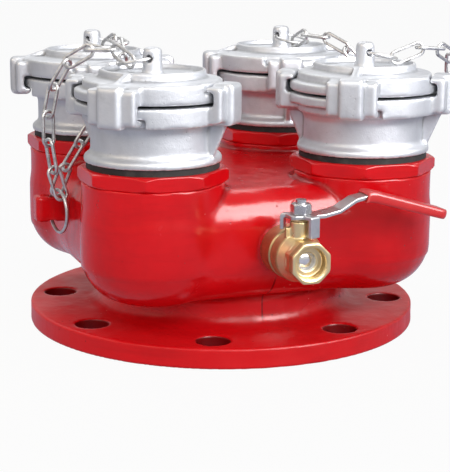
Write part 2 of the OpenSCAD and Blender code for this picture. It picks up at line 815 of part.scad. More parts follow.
// A wire swept along a helix, with flat ends where the spring is ground
module check_spring(i) {
    sides = 6;
    per_turn = 14;
    n = ceil(spring_turns * per_turn);
    wire_r = spring_wire / 2;
    rise = (spring_l - spring_wire) / n;
    pts = [for (k = [0:n]) for (s = [0:sides - 1])
        let (a = 360 * k / per_turn, b = 360 * s / sides, r = spring_mean_r + wire_r * cos(b))
        [r * cos(a), r * sin(a), wire_r + k * rise + wire_r * sin(b)]];
    color("silver")
        translate(at(i) + [0, 0, spring_z])
            polyhedron(
                points = pts,
                faces = concat(
                    [[for (s = [0:sides - 1]) s]],
                    [for (k = [0:n - 1]) for (s = [0:sides - 1]) let (t = (s + 1) % sides)
                        each [[k * sides + s, (k + 1) * sides + s, (k + 1) * sides + t],
                              [k * sides + s, (k + 1) * sides + t, k * sides + t]]],
                    [[for (s = [sides - 1:-1:0]) n * sides + s]]));
}

module check_collar(i) {
    color("goldenrod")
        translate(at(i))
            ring(hub_r + 0.5, check_stem_d / 2 + seat_play, collar_z, collar_h);
}

module drain_nipple() {
    color("darkgoldenrod")
        along_drain(-retainer_s - nipple_in + 1)
            difference() {
                cylinder(r = nipple_r, h = nipple_in + nipple_grip);
                translate([0, 0, -cut])
                    cylinder(r = nipple_r - 2.6, h = nipple_in + nipple_grip + 2 * cut);
            }
}

module drain_body() {
    barrel_r = drain_barrel_d / 2;
    flats_r = outlet_flats / 2;
    cone_s = 7;
    mouth = 1.1;
    stop_r = 9.8;
    stop_w = 4.6;
    pocket_h = ball_r + 3.2;
    bore_h = pocket_h + 4;
    color("darkgoldenrod")
        difference() {
            union() {
                along_drain(0)
                    rotate_extrude()
                        polygon([
                            [0, -joint_s], [barrel_r - 0.8, -joint_s], [barrel_r, -joint_s + 0.8],
                            [barrel_r, -1], [flats_r + 0.6, cone_s], [flats_r + 0.6, cone_s + 1],
                            [0, cone_s + 1]]);
                intersection() {
                    along_drain(cone_s)
                        rotate(22.5)
                            cylinder(r = flats_r / cos(22.5), h = outlet_reach - cone_s, $fn = 8);
                    along_drain(0)
                        rotate_extrude()
                            polygon([
                                [0, 0], [flats_r + 2, 0], [flats_r + 2, outlet_reach - 1.6],
                                [flats_r + 0.2, outlet_reach], [0, outlet_reach]]);
                }
                translate([0, -drain_stem_y, drain_z])
                    cylinder(d = tower_d, h = tower_h);
                translate([0, -drain_stem_y, drain_z])
                    rotate(166)
                        translate([0, -stop_w / 2, 0])
                            cube([stop_r, stop_w, tower_h - 4]);
            }
            along_drain(-joint_s - cut)
                cylinder(r = retainer_thread_r + seat_play, h = joint_s + cut - seat_s);
            along_drain(-seat_s - cut)
                cylinder(r = chamber_r, h = 2 * seat_s + cut);
            along_drain(seat_s - cut)
                cylinder(r = seat_ring_r, h = seat_l + cut);
            along_drain(0)
                cylinder(r = ball_bore_r, h = outlet_reach + cut);
            along_drain(seat_s + seat_l + 1.4)
                cylinder(r = drain_thread_r - 0.3, h = outlet_reach);
            along_drain(outlet_reach - mouth)
                cylinder(r1 = drain_thread_r - 0.3, r2 = drain_thread_r + mouth, h = mouth + 0.01);
            translate([0, -drain_stem_y, drain_z]) {
                cylinder(r = collar_r + 0.15, h = pocket_h);
                cylinder(r = drain_stem_r + seat_play, h = tower_h + cut);
                translate([0, 0, bore_h])
                    cylinder(r = packing_r + seat_play, h = tower_h);
            }
        }
}

module drain_retainer() {
    barrel_r = drain_barrel_d / 2 + 0.5;
    inner_s = -seat_s - running_play;
    color("darkgoldenrod")
        along_drain(0)
            difference() {
                rotate_extrude()
                    polygon([
                        [0, -retainer_s], [barrel_r - 2.5, -retainer_s], [barrel_r, -retainer_s + 3],
                        [barrel_r, -joint_s - 1], [barrel_r - 1.2, -joint_s],
                        [retainer_thread_r, -joint_s], [retainer_thread_r, inner_s], [0, inner_s]]);
                translate([0, 0, inner_s - seat_l + running_play])
                    cylinder(r = seat_ring_r, h = seat_l + cut);
                translate([0, 0, -retainer_s - cut])
                    cylinder(r = ball_bore_r, h = retainer_s + cut);
                translate([0, 0, -retainer_s - cut])
                    cylinder(r = drain_thread_r, h = nipple_grip + 1.5 + cut);
            }
}

// Two rings that hold the ball, each hollowed to the ball's own round
module drain_seats() {
    inner_s = 6.9;
    color("whitesmoke")
        for (side = [-1, 1])
            along_drain(0)
                scale([1, 1, side])
                    difference() {
                        translate([0, 0, inner_s])
                            cylinder(r = seat_ring_r - seat_play, h = seat_s + seat_l - inner_s);
                        translate([0, 0, inner_s - cut])
                            cylinder(r = ball_bore_r + 0.3, h = seat_l + 3);
                        sphere(r = ball_r + seat_play);
                    }
}

slot_w = 4;
slot_z = 7.2;

module drain_ball() {
    color("lightsteelblue")
        translate([0, -drain_stem_y, drain_z])
            difference() {
                sphere(r = ball_r);
                rotate([0, 90, 0])
                    translate([0, 0, -ball_d])
                        cylinder(r = ball_bore_r, h = 2 * ball_d);
                translate([-slot_w / 2, -ball_d, slot_z])
                    cube([slot_w, 2 * ball_d, ball_d]);
            }
}

module drain_stem() {
    tang_l = 8;
    collar_low = ball_r + 0.3;
    collar_top = ball_r + 3;
    top = lever_h + lever_t + 9.5;
    color("darkgoldenrod")
        translate([0, -drain_stem_y, drain_z])
            union() {
                translate([-slot_w / 2 + 0.1, -tang_l / 2, slot_z + 0.2])
                    cube([slot_w - 0.2, tang_l, collar_low - slot_z]);
                translate([0, 0, collar_low])
                    cylinder(r = collar_r, h = collar_top - collar_low);
                translate([0, 0, collar_low])
                    cylinder(r = drain_stem_r, h = top - collar_low);
            }
}

packing_low = ball_r + 7.2;
packing_h = 3;
gland_head_h = 1.2;

module drain_packing() {
    color("whitesmoke")
        translate([0, -drain_stem_y, drain_z])
            ring(packing_r, drain_stem_r + seat_play, packing_low, packing_h);
}

module drain_gland() {
    color("darkgoldenrod")
        translate([0, -drain_stem_y, drain_z])
            difference() {
                union() {
                    translate([0, 0, packing_low + packing_h])
                        cylinder(r = packing_r, h = tower_h - packing_low - packing_h + 0.5);
                    translate([0, 0, tower_h])
                        cylinder(r = tower_d / 2 - 0.8, h = gland_head_h, $fn = 6);
                }
                translate([0, 0, packing_low])
                    cylinder(r = drain_stem_r + seat_play, h = tower_h);
            }
}

// Height of the lever's strip above the flat, along its length
function lever_path() = [
    [-9, 0], [14, 0], [25, lever_rise * 0.22], [lever_peak_x - 9, lever_rise * 0.82],
    [lever_peak_x, lever_rise], [lever_peak_x + 8, lever_rise * 0.86],
    [grip_end_x - 4, -grip_drop + 0.6]];
function band(path, t0, t1) = concat(
    [for (p = path) [p.x, p.y + t0]],
    [for (k = [len(path) - 1:-1:0]) [path[k].x, path[k].y + t1]]);

// A turned-down tab beside the stem, in the direction a
module stop_tab(a, w, depth) {
    inner = 10.6;
    rotate(a)
        slab(rounded([
            [inner - 4.5, lever_t, 0], [inner - 4.5, 0, 0], [inner, 0, 0], [inner, -depth, 0],
            [inner + lever_t, -depth, 0], [inner + lever_t, lever_t, 1.5]]), w);
}

module drain_lever() {
    blade_w = lever_w - 4;
    color("lightgray")
        translate([0, -drain_stem_y, lever_z])
            difference() {
                union() {
                    intersection() {
                        slab(band(lever_path(), 0, lever_t), lever_w + 4);
                        translate([0, 0, -grip_drop - 5])
                            linear_extrude(lever_rise + grip_drop + lever_t + 10)
                                polygon(rounded([
                                    [-9, -lever_w / 2, 4], [grip_end_x, -blade_w / 2, 3],
                                    [grip_end_x, blade_w / 2, 3], [-9, lever_w / 2, 4]]));
                    }
                    stop_tab(-66, 8, 11.4);
                    stop_tab(140, 6, 7.8);
                    cylinder(r = 8.6, h = lever_t);
                }
                translate([0, 0, -cut])
                    cylinder(r = drain_stem_r + seat_play, h = lever_t + 2 * cut);
            }
}

module drain_nut() {
    nut_flats = 12;
    nut_h = 7;
    points_r = nut_flats / 2 / cos(30);
    color("silver")
        translate([0, -drain_stem_y, lever_z + lever_t])
            difference() {
                intersection() {
                    rotate(30)
                        cylinder(r = points_r, h = nut_h, $fn = 6);
                    rotate_extrude()
                        polygon([
                            [0, 0], [nut_flats / 2 + 0.3, 0], [points_r + 0.5, 1], [points_r + 0.5, nut_h - 1.4],
                            [nut_flats / 2 - 0.2, nut_h], [0, nut_h]]);
                }
                translate([0, 0, -cut])
                    cylinder(r = drain_stem_r + seat_play, h = nut_h + 2 * cut);
            }
}

module drain_grip() {
    start_x = lever_peak_x + 8;
    side = (grip_t - lever_t) / 2;
    path = [for (p = lever_path()) if (p.x >= start_x) p];
    fall = (path[1].y - path[0].y) / (path[1].x - path[0].x);
    outer = [path[0], [grip_end_x, path[0].y + fall * (grip_end_x - start_x)]];
    slot = [path[0] - [cut, fall * cut], path[1] + [0.3, fall * 0.3]];
    color("red")
        translate([0, -drain_stem_y, lever_z])
            difference() {
                intersection() {
                    slab(band(outer, -side, lever_t + side), grip_end_w + 4);
                    translate([0, 0, -grip_drop - grip_t])
                        linear_extrude(lever_rise + grip_drop + 3 * grip_t)
                            polygon(rounded([
                                [start_x, -lever_w / 2 - 1, 3], [grip_end_x, -grip_end_w / 2, 6],
                                [grip_end_x, grip_end_w / 2, 6], [start_x, lever_w / 2 + 1, 3]]));
                }
                slab(band(slot, -seat_play, lever_t + seat_play), lever_w);
            }
}

body_casting();
inlet_bush(FL);  // inlet_bush_fl
inlet_bush(FR);  // inlet_bush_fr
inlet_bush(BL);  // inlet_bush_bl
inlet_bush(BR);  // inlet_bush_br
coupling_gaskets();
coupling_seals();
check_spiders();
coupling(FL);  // coupling_fl
coupling(FR);  // coupling_fr
coupling(BL);  // coupling_bl
coupling(BR);  // coupling_br
cap(FL);  // cap_fl
cap(FR);  // cap_fr
cap(BL);  // cap_bl
cap(BR);  // cap_br
cap_seal(FL);  // cap_seal_fl
cap_seal(FR);  // cap_seal_fr
cap_seal(BL);  // cap_seal_bl
cap_seal(BR);  // cap_seal_br
cap_ring(FL);  // cap_ring_fl
cap_ring(FR);  // cap_ring_fr
cap_ring(BL);  // cap_ring_bl
cap_ring(BR);  // cap_ring_br
chain(FL);  // chain_fl
chain(FR);  // chain_fr
chain(BL);  // chain_bl
chain(BR);  // chain_br
lug_ring(-1);  // lug_ring_left
lug_ring(1);  // lug_ring_right
check_disc(FL);  // check_disc_fl
check_disc(FR);  // check_disc_fr
check_disc(BL);  // check_disc_bl
check_disc(BR);  // check_disc_br
check_seal(FL);  // check_seal_fl
check_seal(FR);  // check_seal_fr
check_seal(BL);  // check_seal_bl
check_seal(BR);  // check_seal_br
check_spring(FL);  // check_spring_fl
check_spring(FR);  // check_spring_fr
check_spring(BL);  // check_spring_bl
check_spring(BR);  // check_spring_br
check_collar(FL);  // check_collar_fl
check_collar(FR);  // check_collar_fr
check_collar(BL);  // check_collar_bl
check_collar(BR);  // check_collar_br
drain_nipple();
drain_body();
drain_retainer();
drain_seats();
drain_ball();
drain_stem();
drain_packing();
drain_gland();
drain_lever();
drain_nut();
drain_grip();
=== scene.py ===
"""Finished surfaces, light and camera for the fire department connection's CAD frame."""

import math
from types import SimpleNamespace

import bpy
import numpy as np
from bpy.props import FloatProperty, FloatVectorProperty, IntProperty, PointerProperty
from mathutils import Matrix, Vector


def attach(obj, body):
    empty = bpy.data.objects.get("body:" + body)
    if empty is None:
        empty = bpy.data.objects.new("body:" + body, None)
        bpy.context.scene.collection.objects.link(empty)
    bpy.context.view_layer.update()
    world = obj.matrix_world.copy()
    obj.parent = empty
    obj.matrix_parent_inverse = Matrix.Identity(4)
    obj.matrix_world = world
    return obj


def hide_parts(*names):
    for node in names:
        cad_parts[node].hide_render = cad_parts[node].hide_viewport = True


bl_info = {
    "name": "Fire department connection",
    "version": (1, 0, 0),
    "blender": (4, 5, 0),
    "location": "3D View > Sidebar > Inlet",
    "description": "Finished surfaces of a four-inlet fire department connection around its CAD frame",
    "category": "Add Mesh",
}

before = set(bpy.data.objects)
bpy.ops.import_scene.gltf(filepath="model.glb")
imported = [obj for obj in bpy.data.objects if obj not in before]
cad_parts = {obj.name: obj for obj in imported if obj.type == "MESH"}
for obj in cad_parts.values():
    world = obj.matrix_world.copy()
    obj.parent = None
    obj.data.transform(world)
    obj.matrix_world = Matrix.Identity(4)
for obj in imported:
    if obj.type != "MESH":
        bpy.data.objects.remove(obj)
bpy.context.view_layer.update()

MM = 0.001
INLETS = ("fl", "fr", "bl", "br")


# ---------------------------------------------------------------- shader maths


class Field:
    """A value or colour in a material's node tree, on which Python's operators add Math nodes."""

    def __init__(self, shader, socket):
        self.shader = shader
        self.socket = socket

    def _math(self, operation, *values):
        return self.shader.node("ShaderNodeMath", {"operation": operation}, *values)

    def __add__(self, other):
        return self._math("ADD", self, other)

    def __radd__(self, other):
        return self._math("ADD", other, self)

    def __sub__(self, other):
        return self._math("SUBTRACT", self, other)

    def __rsub__(self, other):
        return self._math("SUBTRACT", other, self)

    def __mul__(self, other):
        return self._math("MULTIPLY", self, other)

    def __rmul__(self, other):
        return self._math("MULTIPLY", other, self)

    def absolute(self):
        return self._math("ABSOLUTE", self)

    def power(self, other):
        return self._math("POWER", self, other)

    def larger(self, other):
        return self._math("MAXIMUM", self, other)

    def step(self, low, high):
        """0 below low and 1 above high, smooth between; with low the larger, it falls from 1 to 0."""
        smooth = {"interpolation_type": "SMOOTHSTEP"}
        return self.shader.node("ShaderNodeMapRange", smooth, self, low, high, 0.0, 1.0)


class Shader:
    """The node tree of a material or of the world, and the helpers that add to it."""

    def __init__(self, owner):
        self.owner = owner
        owner.use_nodes = True
        self.tree = owner.node_tree
        self.tree.nodes.clear()

    def node(self, kind, settings, *inputs, output=0, **named):
        """Adds a node, sets its settings and then its inputs, by place or by name; gives one output.

        An input left at None keeps its own value.
        """
        made = self.tree.nodes.new(kind)
        for key, value in settings.items():
            setattr(made, key, value)
        for key, value in list(enumerate(inputs)) + list(named.items()):
            slot = made.inputs[key.replace("_", " ")] if isinstance(key, str) else made.inputs[key]
            if isinstance(value, Field):
                self.tree.links.new(value.socket, slot)
            elif value is not None:
                slot.default_value = value
        return Field(self, made.outputs[output]) if len(made.outputs) else None

    def place(self):
        """Object coordinates in metres."""
        return self.node("ShaderNodeTexCoord", {}, output="Object")

    def axes(self, vector):
        """The x, y and z of a vector."""
        first = self.node("ShaderNodeSeparateXYZ", {}, vector)
        return [Field(self, socket) for socket in first.socket.node.outputs]

    def scaled(self, vector, scale):
        """The vector with each axis times its own scale."""
        return self.node("ShaderNodeMapping", {}, vector, Scale=scale)

    def noise(self, vector, scale, detail=4.0, roughness=0.55, distortion=0.0):
        """Soft noise from 0 to 1, at scale lumps to the metre."""
        return self.node(
            "ShaderNodeTexNoise",
            {"normalize": True},
            Vector=vector,
            Scale=scale,
            Detail=detail,
            Roughness=roughness,
            Distortion=distortion,
        )

    def cells(self, vector, scale):
        """Distance to the nearest point of a random scatter."""
        nearest = {"feature": "F1"}
        return self.node("ShaderNodeTexVoronoi", nearest, Vector=vector, Scale=scale, output="Distance")

    def pointiness(self):
        """Below a half in hollows and above it on edges."""
        return self.node("ShaderNodeNewGeometry", {}, output="Pointiness")

    def mix(self, factor, first, second):
        """A colour between first and second."""
        other_kinds = [None] * 5
        blend = {"data_type": "RGBA"}
        return self.node("ShaderNodeMix", blend, factor, *other_kinds, first, second, output=2)

    def bump(self, height, distance, strength):
        """A normal tilted by the slope of height times distance, in metres."""
        return self.node("ShaderNodeBump", {}, Height=height, Distance=distance, Strength=strength)

    def seen_as(self, ray, share, usual, seen):
        """The shader seen in place of the usual one, by share, for one kind of ray."""
        part = self.node("ShaderNodeLightPath", {}, output=ray) * share
        return self.node("ShaderNodeMixShader", {}, part, usual, seen)

    def close(self, kind, surface):
        """Links the surface into an output node and gives what owns the tree."""
        self.node(kind, {}, Surface=surface)
        return self.owner

    def finish(self, **sockets):
        """Closes the tree with one Principled shader; sockets are named with underscores for spaces."""
        surface = self.node("ShaderNodeBsdfPrincipled", {}, **sockets)
        return self.close("ShaderNodeOutputMaterial", surface)


def rgba(colour):
    """The colour with a full alpha."""
    return (*colour[:3], 1.0)


def shade(colour, factor):
    """The colour made darker or paler by a factor."""
    return tuple(min(1.0, max(0.0, c * factor)) for c in colour[:3]) + (1.0,)


# ---------------------------------------------------------------- materials

# Linear colours of what lies on a finish or shows through it, and of the darker hollows
WHITE = (1.0, 1.0, 1.0, 1.0)
CHIPPED, GRIT = (0.12, 0.02, 0.02, 1.0), (0.85, 0.4, 0.36, 1.0)
RUBBED_ALUMINIUM, RUBBER_BLOOM = (0.93, 0.93, 0.935, 1.0), (0.085, 0.08, 0.078, 1.0)
WIRE_DIRT, DARK_STEEL_HOLLOWS = (0.3, 0.26, 0.21, 1.0), (0.09, 0.085, 0.08, 1.0)
DARK_BRASS_HOLLOWS, TARNISH = (0.13, 0.07, 0.03, 1.0), (0.34, 0.2, 0.085, 1.0)
RUBBED_BRASS, LATHED_BRASS = (0.93, 0.76, 0.42, 1.0), (0.86, 0.7, 0.4, 1.0)
WORN_GRIP = (0.95, 0.35, 0.33, 1.0)
PALE_SEAT, DULL_SEAT = (0.86, 0.86, 0.83, 1.0), (0.7, 0.69, 0.64, 1.0)


def casting_marks(s, p):
    """Masks for the bolt holes' walls, which get painted shade, the mould's seam below the drain valve
    and the duller flange.

    All of them are bounds on x, y, z or the radius, in metres, each softened by a smooth step.
    """
    flange_top, flange_rim, neck_foot = 0.0138, 0.1345, 0.013
    seam_x, seam_y, seam_low, seam_high = -0.0025, -0.06, 0.015, 0.057
    x, y, z = s.axes(p)
    radius = (x * x + y * y).power(0.5)
    # the bolt holes' walls, where the paint gets painted shade
    bolt_hole = z.step(flange_top, flange_top - 0.001) * radius.step(flange_rim, flange_rim - 0.0015)
    line = (x - seam_x).absolute().step(0.0008, 0.0003) * y.step(seam_y, seam_y - 0.01)
    ends = z.step(seam_high, seam_high - 0.007) * z.step(seam_low, seam_low + 0.003)
    broken = s.noise(p, 90.0, 2.0).step(0.3, 0.5)
    return bolt_hole, line * ends * broken, z.step(0.03, neck_foot)


def paint_material(name, colour, relief=1.0):
    """Thick glossy enamel on a casting: lumps of the sand mould, runs, sags, pits and a few chips, with
    painted shade in its hollows and on the bolt holes' walls.
    """
    s = Shader(bpy.data.materials.new(name))
    p = s.place()
    lumps = s.noise(p, 24.0, 3.0, 0.5)
    sag = s.noise(s.scaled(p, (1.0, 1.0, 0.3)), 70.0, 2.0, 0.5)
    peel = s.noise(p, 300.0, 2.0, 0.5)
    pits = s.cells(p, 190.0).step(0.15, 0.05) * s.noise(p, 34.0, 2.0).step(0.56, 0.66)
    chips = s.cells(p, 95.0).step(0.13, 0.09) * s.noise(p, 19.0, 2.0).step(0.64, 0.7)
    dust = s.cells(p, 150.0).step(0.1, 0.07) * s.noise(p, 23.0, 2.0).step(0.57, 0.63)
    thin = s.noise(p, 11.0, 4.0, 0.6).step(0.4, 0.75)
    streak = s.noise(s.scaled(p, (1.0, 1.0, 7.0)), 14.0, 4.0, 0.62).step(0.5, 0.75)
    hollow = s.pointiness().step(0.497, 0.468)
    bolt_hole, seam, dull = casting_marks(s, p)
    tone = s.mix(thin, rgba(colour), shade(colour, 0.78))
    tone = s.mix(streak * 0.4, tone, shade(colour, 0.66))
    # painted shade: the enamel is darkened in the hollows
    tone = s.mix(hollow * 0.6, tone, shade(colour, 0.3))
    tone = s.mix(pits * 0.8, tone, shade(colour, 0.25))
    tone = s.mix(chips * 0.8, tone, CHIPPED)
    tone = s.mix(dust * 0.5, tone, GRIT)
    # painted shade: the bolt holes' walls made nearly black, where shadow falls
    tone = s.mix(bolt_hole * 0.85, tone, shade(colour, 0.16))
    tone = s.mix(seam * 0.8, tone, shade(colour, 0.2))
    clouded = s.noise(p, 48.0, 3.0).step(0.35, 0.8)
    rough = 0.17 + clouded * 0.12 + pits * 0.3 + chips * 0.4 + dull * 0.16
    rise = lumps + sag * 0.5 + peel * 0.035 - pits * 0.14 - chips * 0.1 - seam * 0.1
    return s.finish(
        Base_Color=tone,
        Roughness=rough,
        IOR=1.38,
        Specular_IOR_Level=0.5,
        Normal=s.bump(rise, 0.002 * relief, 0.55),
    )


def cast_aluminium_material(name, pale, stain_and_shade):
    """Blasted cast aluminium: a fine pebbled skin, soft stains, painted shade in the hollows and rubbed
    bright edges.
    """
    s = Shader(bpy.data.materials.new(name))
    p = s.place()
    clouds = s.noise(p, 30.0, 4.0, 0.6)
    stain = s.noise(p, 85.0, 3.0, 0.6, 0.6)
    pebble = s.noise(p, 900.0, 3.0, 0.65)
    dents = s.cells(p, 260.0).step(0.2, 0.06) * s.noise(p, 55.0, 2.0).step(0.52, 0.64)
    edge = s.pointiness().step(0.515, 0.56)
    hollow = s.pointiness().step(0.494, 0.455)
    tone = s.mix(clouds.step(0.35, 0.68), rgba(pale), shade(pale, 0.86))
    tone = s.mix(stain.step(0.56, 0.78) * 0.4, tone, rgba(stain_and_shade))
    # painted shade: the hollows are darkened towards the stain colour
    tone = s.mix(hollow * 0.75, tone, shade(stain_and_shade, 0.5))
    tone = s.mix(dents * 0.45, tone, shade(stain_and_shade, 0.6))
    tone = s.mix(edge * 0.55, tone, RUBBED_ALUMINIUM)
    rough = 0.42 + clouds * 0.12 - edge * 0.12 + dents * 0.1
    rise = pebble * 0.35 + clouds * 0.7 - dents * 0.5 + s.noise(p, 240.0, 2.0) * 0.35
    return s.finish(
        Base_Color=tone,
        # painted shade: the hollows are also made less metallic, so darker
        Metallic=0.62 - hollow * 0.3,
        Roughness=rough,
        Specular_IOR_Level=0.5,
        Normal=s.bump(rise, 0.0006, 0.6),
    )


def rubber_material(name, colour):
    """Black moulded rubber with a dusty bloom."""
    s = Shader(bpy.data.materials.new(name))
    p = s.place()
    bloom = s.noise(p, 120.0, 4.0, 0.65)
    tone = s.mix(bloom.step(0.45, 0.8) * 0.5, rgba(colour), RUBBER_BLOOM)
    rough = 0.62 + bloom * 0.2
    return s.finish(
        Base_Color=tone,
        Roughness=rough,
        Specular_IOR_Level=0.35,
        Normal=s.bump(s.noise(p, 700.0, 3.0) * 0.6 + bloom, 0.0003, 0.5),
    )


def plated_wire_material(name, colour):
    """Zinc-plated wire: bright, a little blue, with dull patches and fine drawing marks."""
    s = Shader(bpy.data.materials.new(name))
    p = s.place()
    dull = s.noise(p, 210.0, 4.0, 0.6)
    tone = s.mix(dull.step(0.4, 0.75), rgba(colour), shade(colour, 0.55))
    tone = s.mix(s.noise(p, 620.0, 2.0).step(0.6, 0.75) * 0.5, tone, WIRE_DIRT)
    return s.finish(
        Base_Color=tone,
        Metallic=0.95,
        Roughness=0.22 + dull * 0.28,
        Normal=s.bump(s.noise(p, 1400.0, 2.0), 0.00012, 0.6),
    )


def brass_material(name, colour, turned=(), rough_cast=1.0):
    """Sand-cast brass; turned lists the spans of y, in metres, that were turned bright on the lathe."""
    s = Shader(bpy.data.materials.new(name))
    p = s.place()
    _, y, _ = s.axes(p)
    sand = s.noise(p, 1100.0, 3.0, 0.7)
    clouds = s.noise(p, 110.0, 4.0, 0.6)
    tarnish = s.noise(p, 60.0, 3.0, 0.6, 0.5)
    band = None
    for low, high in turned:
        one = y.step(low - 0.0003, low + 0.0003) * y.step(high + 0.0003, high - 0.0003)
        band = one if band is None else band.larger(one)
    cast = 1.0 if band is None else 1.0 - band
    tone = s.mix(clouds.step(0.35, 0.7), rgba(colour), shade(colour, 0.72))
    tone = s.mix(tarnish.step(0.52, 0.76) * 0.55, tone, TARNISH)
    # darker in the hollows
    tone = s.mix(s.pointiness().step(0.492, 0.45) * 0.8, tone, DARK_BRASS_HOLLOWS)
    tone = s.mix(s.pointiness().step(0.52, 0.57) * 0.6, tone, RUBBED_BRASS)
    if band is not None:
        tone = s.mix(band * 0.7, tone, LATHED_BRASS)
        rings = s.node(
            "ShaderNodeTexWave",
            {"wave_type": "BANDS", "bands_direction": "Y"},
            Vector=p,
            Scale=900.0,
            Distortion=0.6,
            Detail=1.0,
        )
        rise = sand * cast * rough_cast + clouds * 0.4 + rings * band * 0.12
        rough = 0.24 + cast * 0.2 + clouds * 0.1
    else:
        rise = sand * rough_cast + clouds * 0.4
        rough = 0.3 + clouds * 0.16
    return s.finish(
        Base_Color=tone,
        Metallic=0.9,
        Roughness=rough,
        Normal=s.bump(rise, 0.0005, 0.55),
    )


def bright_steel_material(name, colour, roughness=0.2, along="X"):
    """Stainless or plated steel with smears and with long drawing lines along an axis."""
    s = Shader(bpy.data.materials.new(name))
    p = s.place()
    stretch = tuple(8.0 if axis == along else 220.0 for axis in "XYZ")
    lines = s.noise(s.scaled(p, stretch), 12.0, 3.0, 0.6)
    smear = s.noise(p, 95.0, 4.0, 0.6)
    tone = s.mix(smear.step(0.4, 0.75), rgba(colour), shade(colour, 0.68))
    # darker in the hollows
    tone = s.mix(s.pointiness().step(0.492, 0.455) * 0.6, tone, DARK_STEEL_HOLLOWS)
    return s.finish(
        Base_Color=tone,
        Metallic=0.92,
        Roughness=roughness + smear * 0.2,
        Normal=s.bump(lines * 0.5 + s.noise(p, 600.0, 2.0) * 0.3, 0.00016, 0.6),
    )


def grip_material(name, colour):
    """Dipped red plastic: a smooth sheen with rubbed, paler places."""
    s = Shader(bpy.data.materials.new(name))
    p = s.place()
    worn = s.noise(p, 70.0, 4.0, 0.6)
    tone = s.mix(worn.step(0.45, 0.75) * 0.6, rgba(colour), shade(colour, 1.18))
    tone = s.mix(s.pointiness().step(0.52, 0.56) * 0.35, tone, WORN_GRIP)
    return s.finish(
        Base_Color=tone,
        Roughness=0.3 + worn * 0.14,
        Specular_IOR_Level=0.5,
        Coat_Weight=0.25,
        Coat_Roughness=0.2,
        Normal=s.bump(s.noise(p, 240.0, 3.0), 0.0003, 0.5),
    )


def pale_seat_material(name):
    """White moulded seat rings and packing."""
    s = Shader(bpy.data.materials.new(name))
    p = s.place()
    haze = s.noise(p, 160.0, 3.0)
    tone = s.mix(haze.step(0.4, 0.8), PALE_SEAT, DULL_SEAT)
    return s.finish(Base_Color=tone, Roughness=0.4 + haze * 0.15, Normal=s.bump(haze, 0.0001, 0.4))


# ---------------------------------------------------------------- meshes


def new_object(name, vertices, faces, material, smooth=True):
    """An object at the origin from points in metres and faces, linked to the scene."""
    mesh = bpy.data.meshes.new(name)
    corners = [tuple(map(int, face)) for face in faces]
    mesh.from_pydata(np.asarray(vertices, float).tolist(), [], corners)
    mesh.validate()
    mesh.update()
    mesh.materials.append(material)
    mesh.shade_smooth() if smooth else mesh.shade_flat()
    made = bpy.data.objects.new(name, mesh)
    bpy.context.scene.collection.objects.link(made)
    return made


def softened(node, name, voxel, material, smoothing):
    """A copy of a CAD node with its edges rounded as a casting's are.

    Its doubles are merged, it is remeshed in cells of voxel millimetres, and each vertex then moves
    halfway to the mean of its neighbours, as many times as smoothing says.
    """
    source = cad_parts[node]
    mesh = source.data.copy()
    mesh.name = name
    mesh.materials.clear()
    made = bpy.data.objects.new(name, mesh)
    bpy.context.scene.collection.objects.link(made)
    weld = made.modifiers.new("Weld", "WELD")
    weld.merge_threshold = 1e-6
    remesh = made.modifiers.new("Remesh", "REMESH")
    remesh.mode = "VOXEL"
    remesh.voxel_size = voxel * MM
    remesh.adaptivity = 0.0
    relax = made.modifiers.new("Relax", "SMOOTH")
    relax.factor = 0.5
    relax.iterations = smoothing
    graph = bpy.context.evaluated_depsgraph_get()
    finished = bpy.data.meshes.new_from_object(made.evaluated_get(graph), depsgraph=graph)
    made.modifiers.clear()
    made.data = finished
    finished.name = name
    finished.materials.clear()
    finished.materials.append(material)
    finished.shade_smooth()
    return made


def dress(node, material):
    """Puts a material on a CAD node as it is."""
    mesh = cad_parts[node].data
    mesh.materials.clear()
    mesh.materials.append(material)


# ---------------------------------------------------------------- the body as one cast skin

# Sizes of the casting that stay with the CAD frame, in millimetres
WALL = 7.0
BARREL_ROOT, BORE_FLOOR, BORE_RADIUS = 60.0, 97.2, 37.6
LUG_LOW, LUG_HIGH = (95.0, -6.5, 78.05), (139.0, 6.5, 96.55)
LUG_HOLE_X, LUG_HOLE_RADIUS, LUG_HOLE_FLOOR = 127.5, 3.5, 60.0
DRAIN_Z, DRAIN_Y, DRAIN_PAD_RADIUS, DRAIN_BORE_RADIUS, DRAIN_BORE_END = 75.0, -147.0, 15.0, 10.3, -80.0
NECK_INSIDE = 12.0

# Fillets where two forms of the casting meet, and the easing of edges that are cut wide or fine
NECK_FILLET, CHAMBER_FILLET, BARREL_FILLET, LUG_FILLET, PAD_FILLET = 12.0, 5.0, 3.0, 4.5, 3.0
EASE, FINE_EASE = 1.0, 0.8


def smooth_union(a, b, blend):
    """Two distance fields joined with a fillet of about blend."""
    h = np.clip(0.5 + 0.5 * (b - a) / blend, 0.0, 1.0)
    return b * (1 - h) + a * h - blend * h * (1 - h)


def smooth_cut(a, b, blend):
    """Field a less field b, with the edge eased by blend."""
    return -smooth_union(-a, b, blend)


def capped_cylinder(rho, z, radius, low, high, ease):
    """Distance to an upright cylinder with its rims eased by ease."""
    dx = rho - radius + ease
    dz = np.abs(z - (low + high) / 2) - (high - low) / 2 + ease
    outside = np.hypot(np.maximum(dx, 0), np.maximum(dz, 0))
    return outside + np.minimum(np.maximum(dx, dz), 0) - ease


def block(x, y, z, low, high, ease):
    """Distance to a box with its edges eased by ease."""
    low, high = np.array(low), np.array(high)
    centre, half = (low + high) / 2, (high - low) / 2 - ease
    d = [np.abs(c - centre[k]) - half[k] for k, c in enumerate((x, y, z))]
    outside = np.sqrt(sum(np.maximum(v, 0) ** 2 for v in d))
    return outside + np.minimum(np.maximum(np.maximum(d[0], d[1]), d[2]), 0) - ease


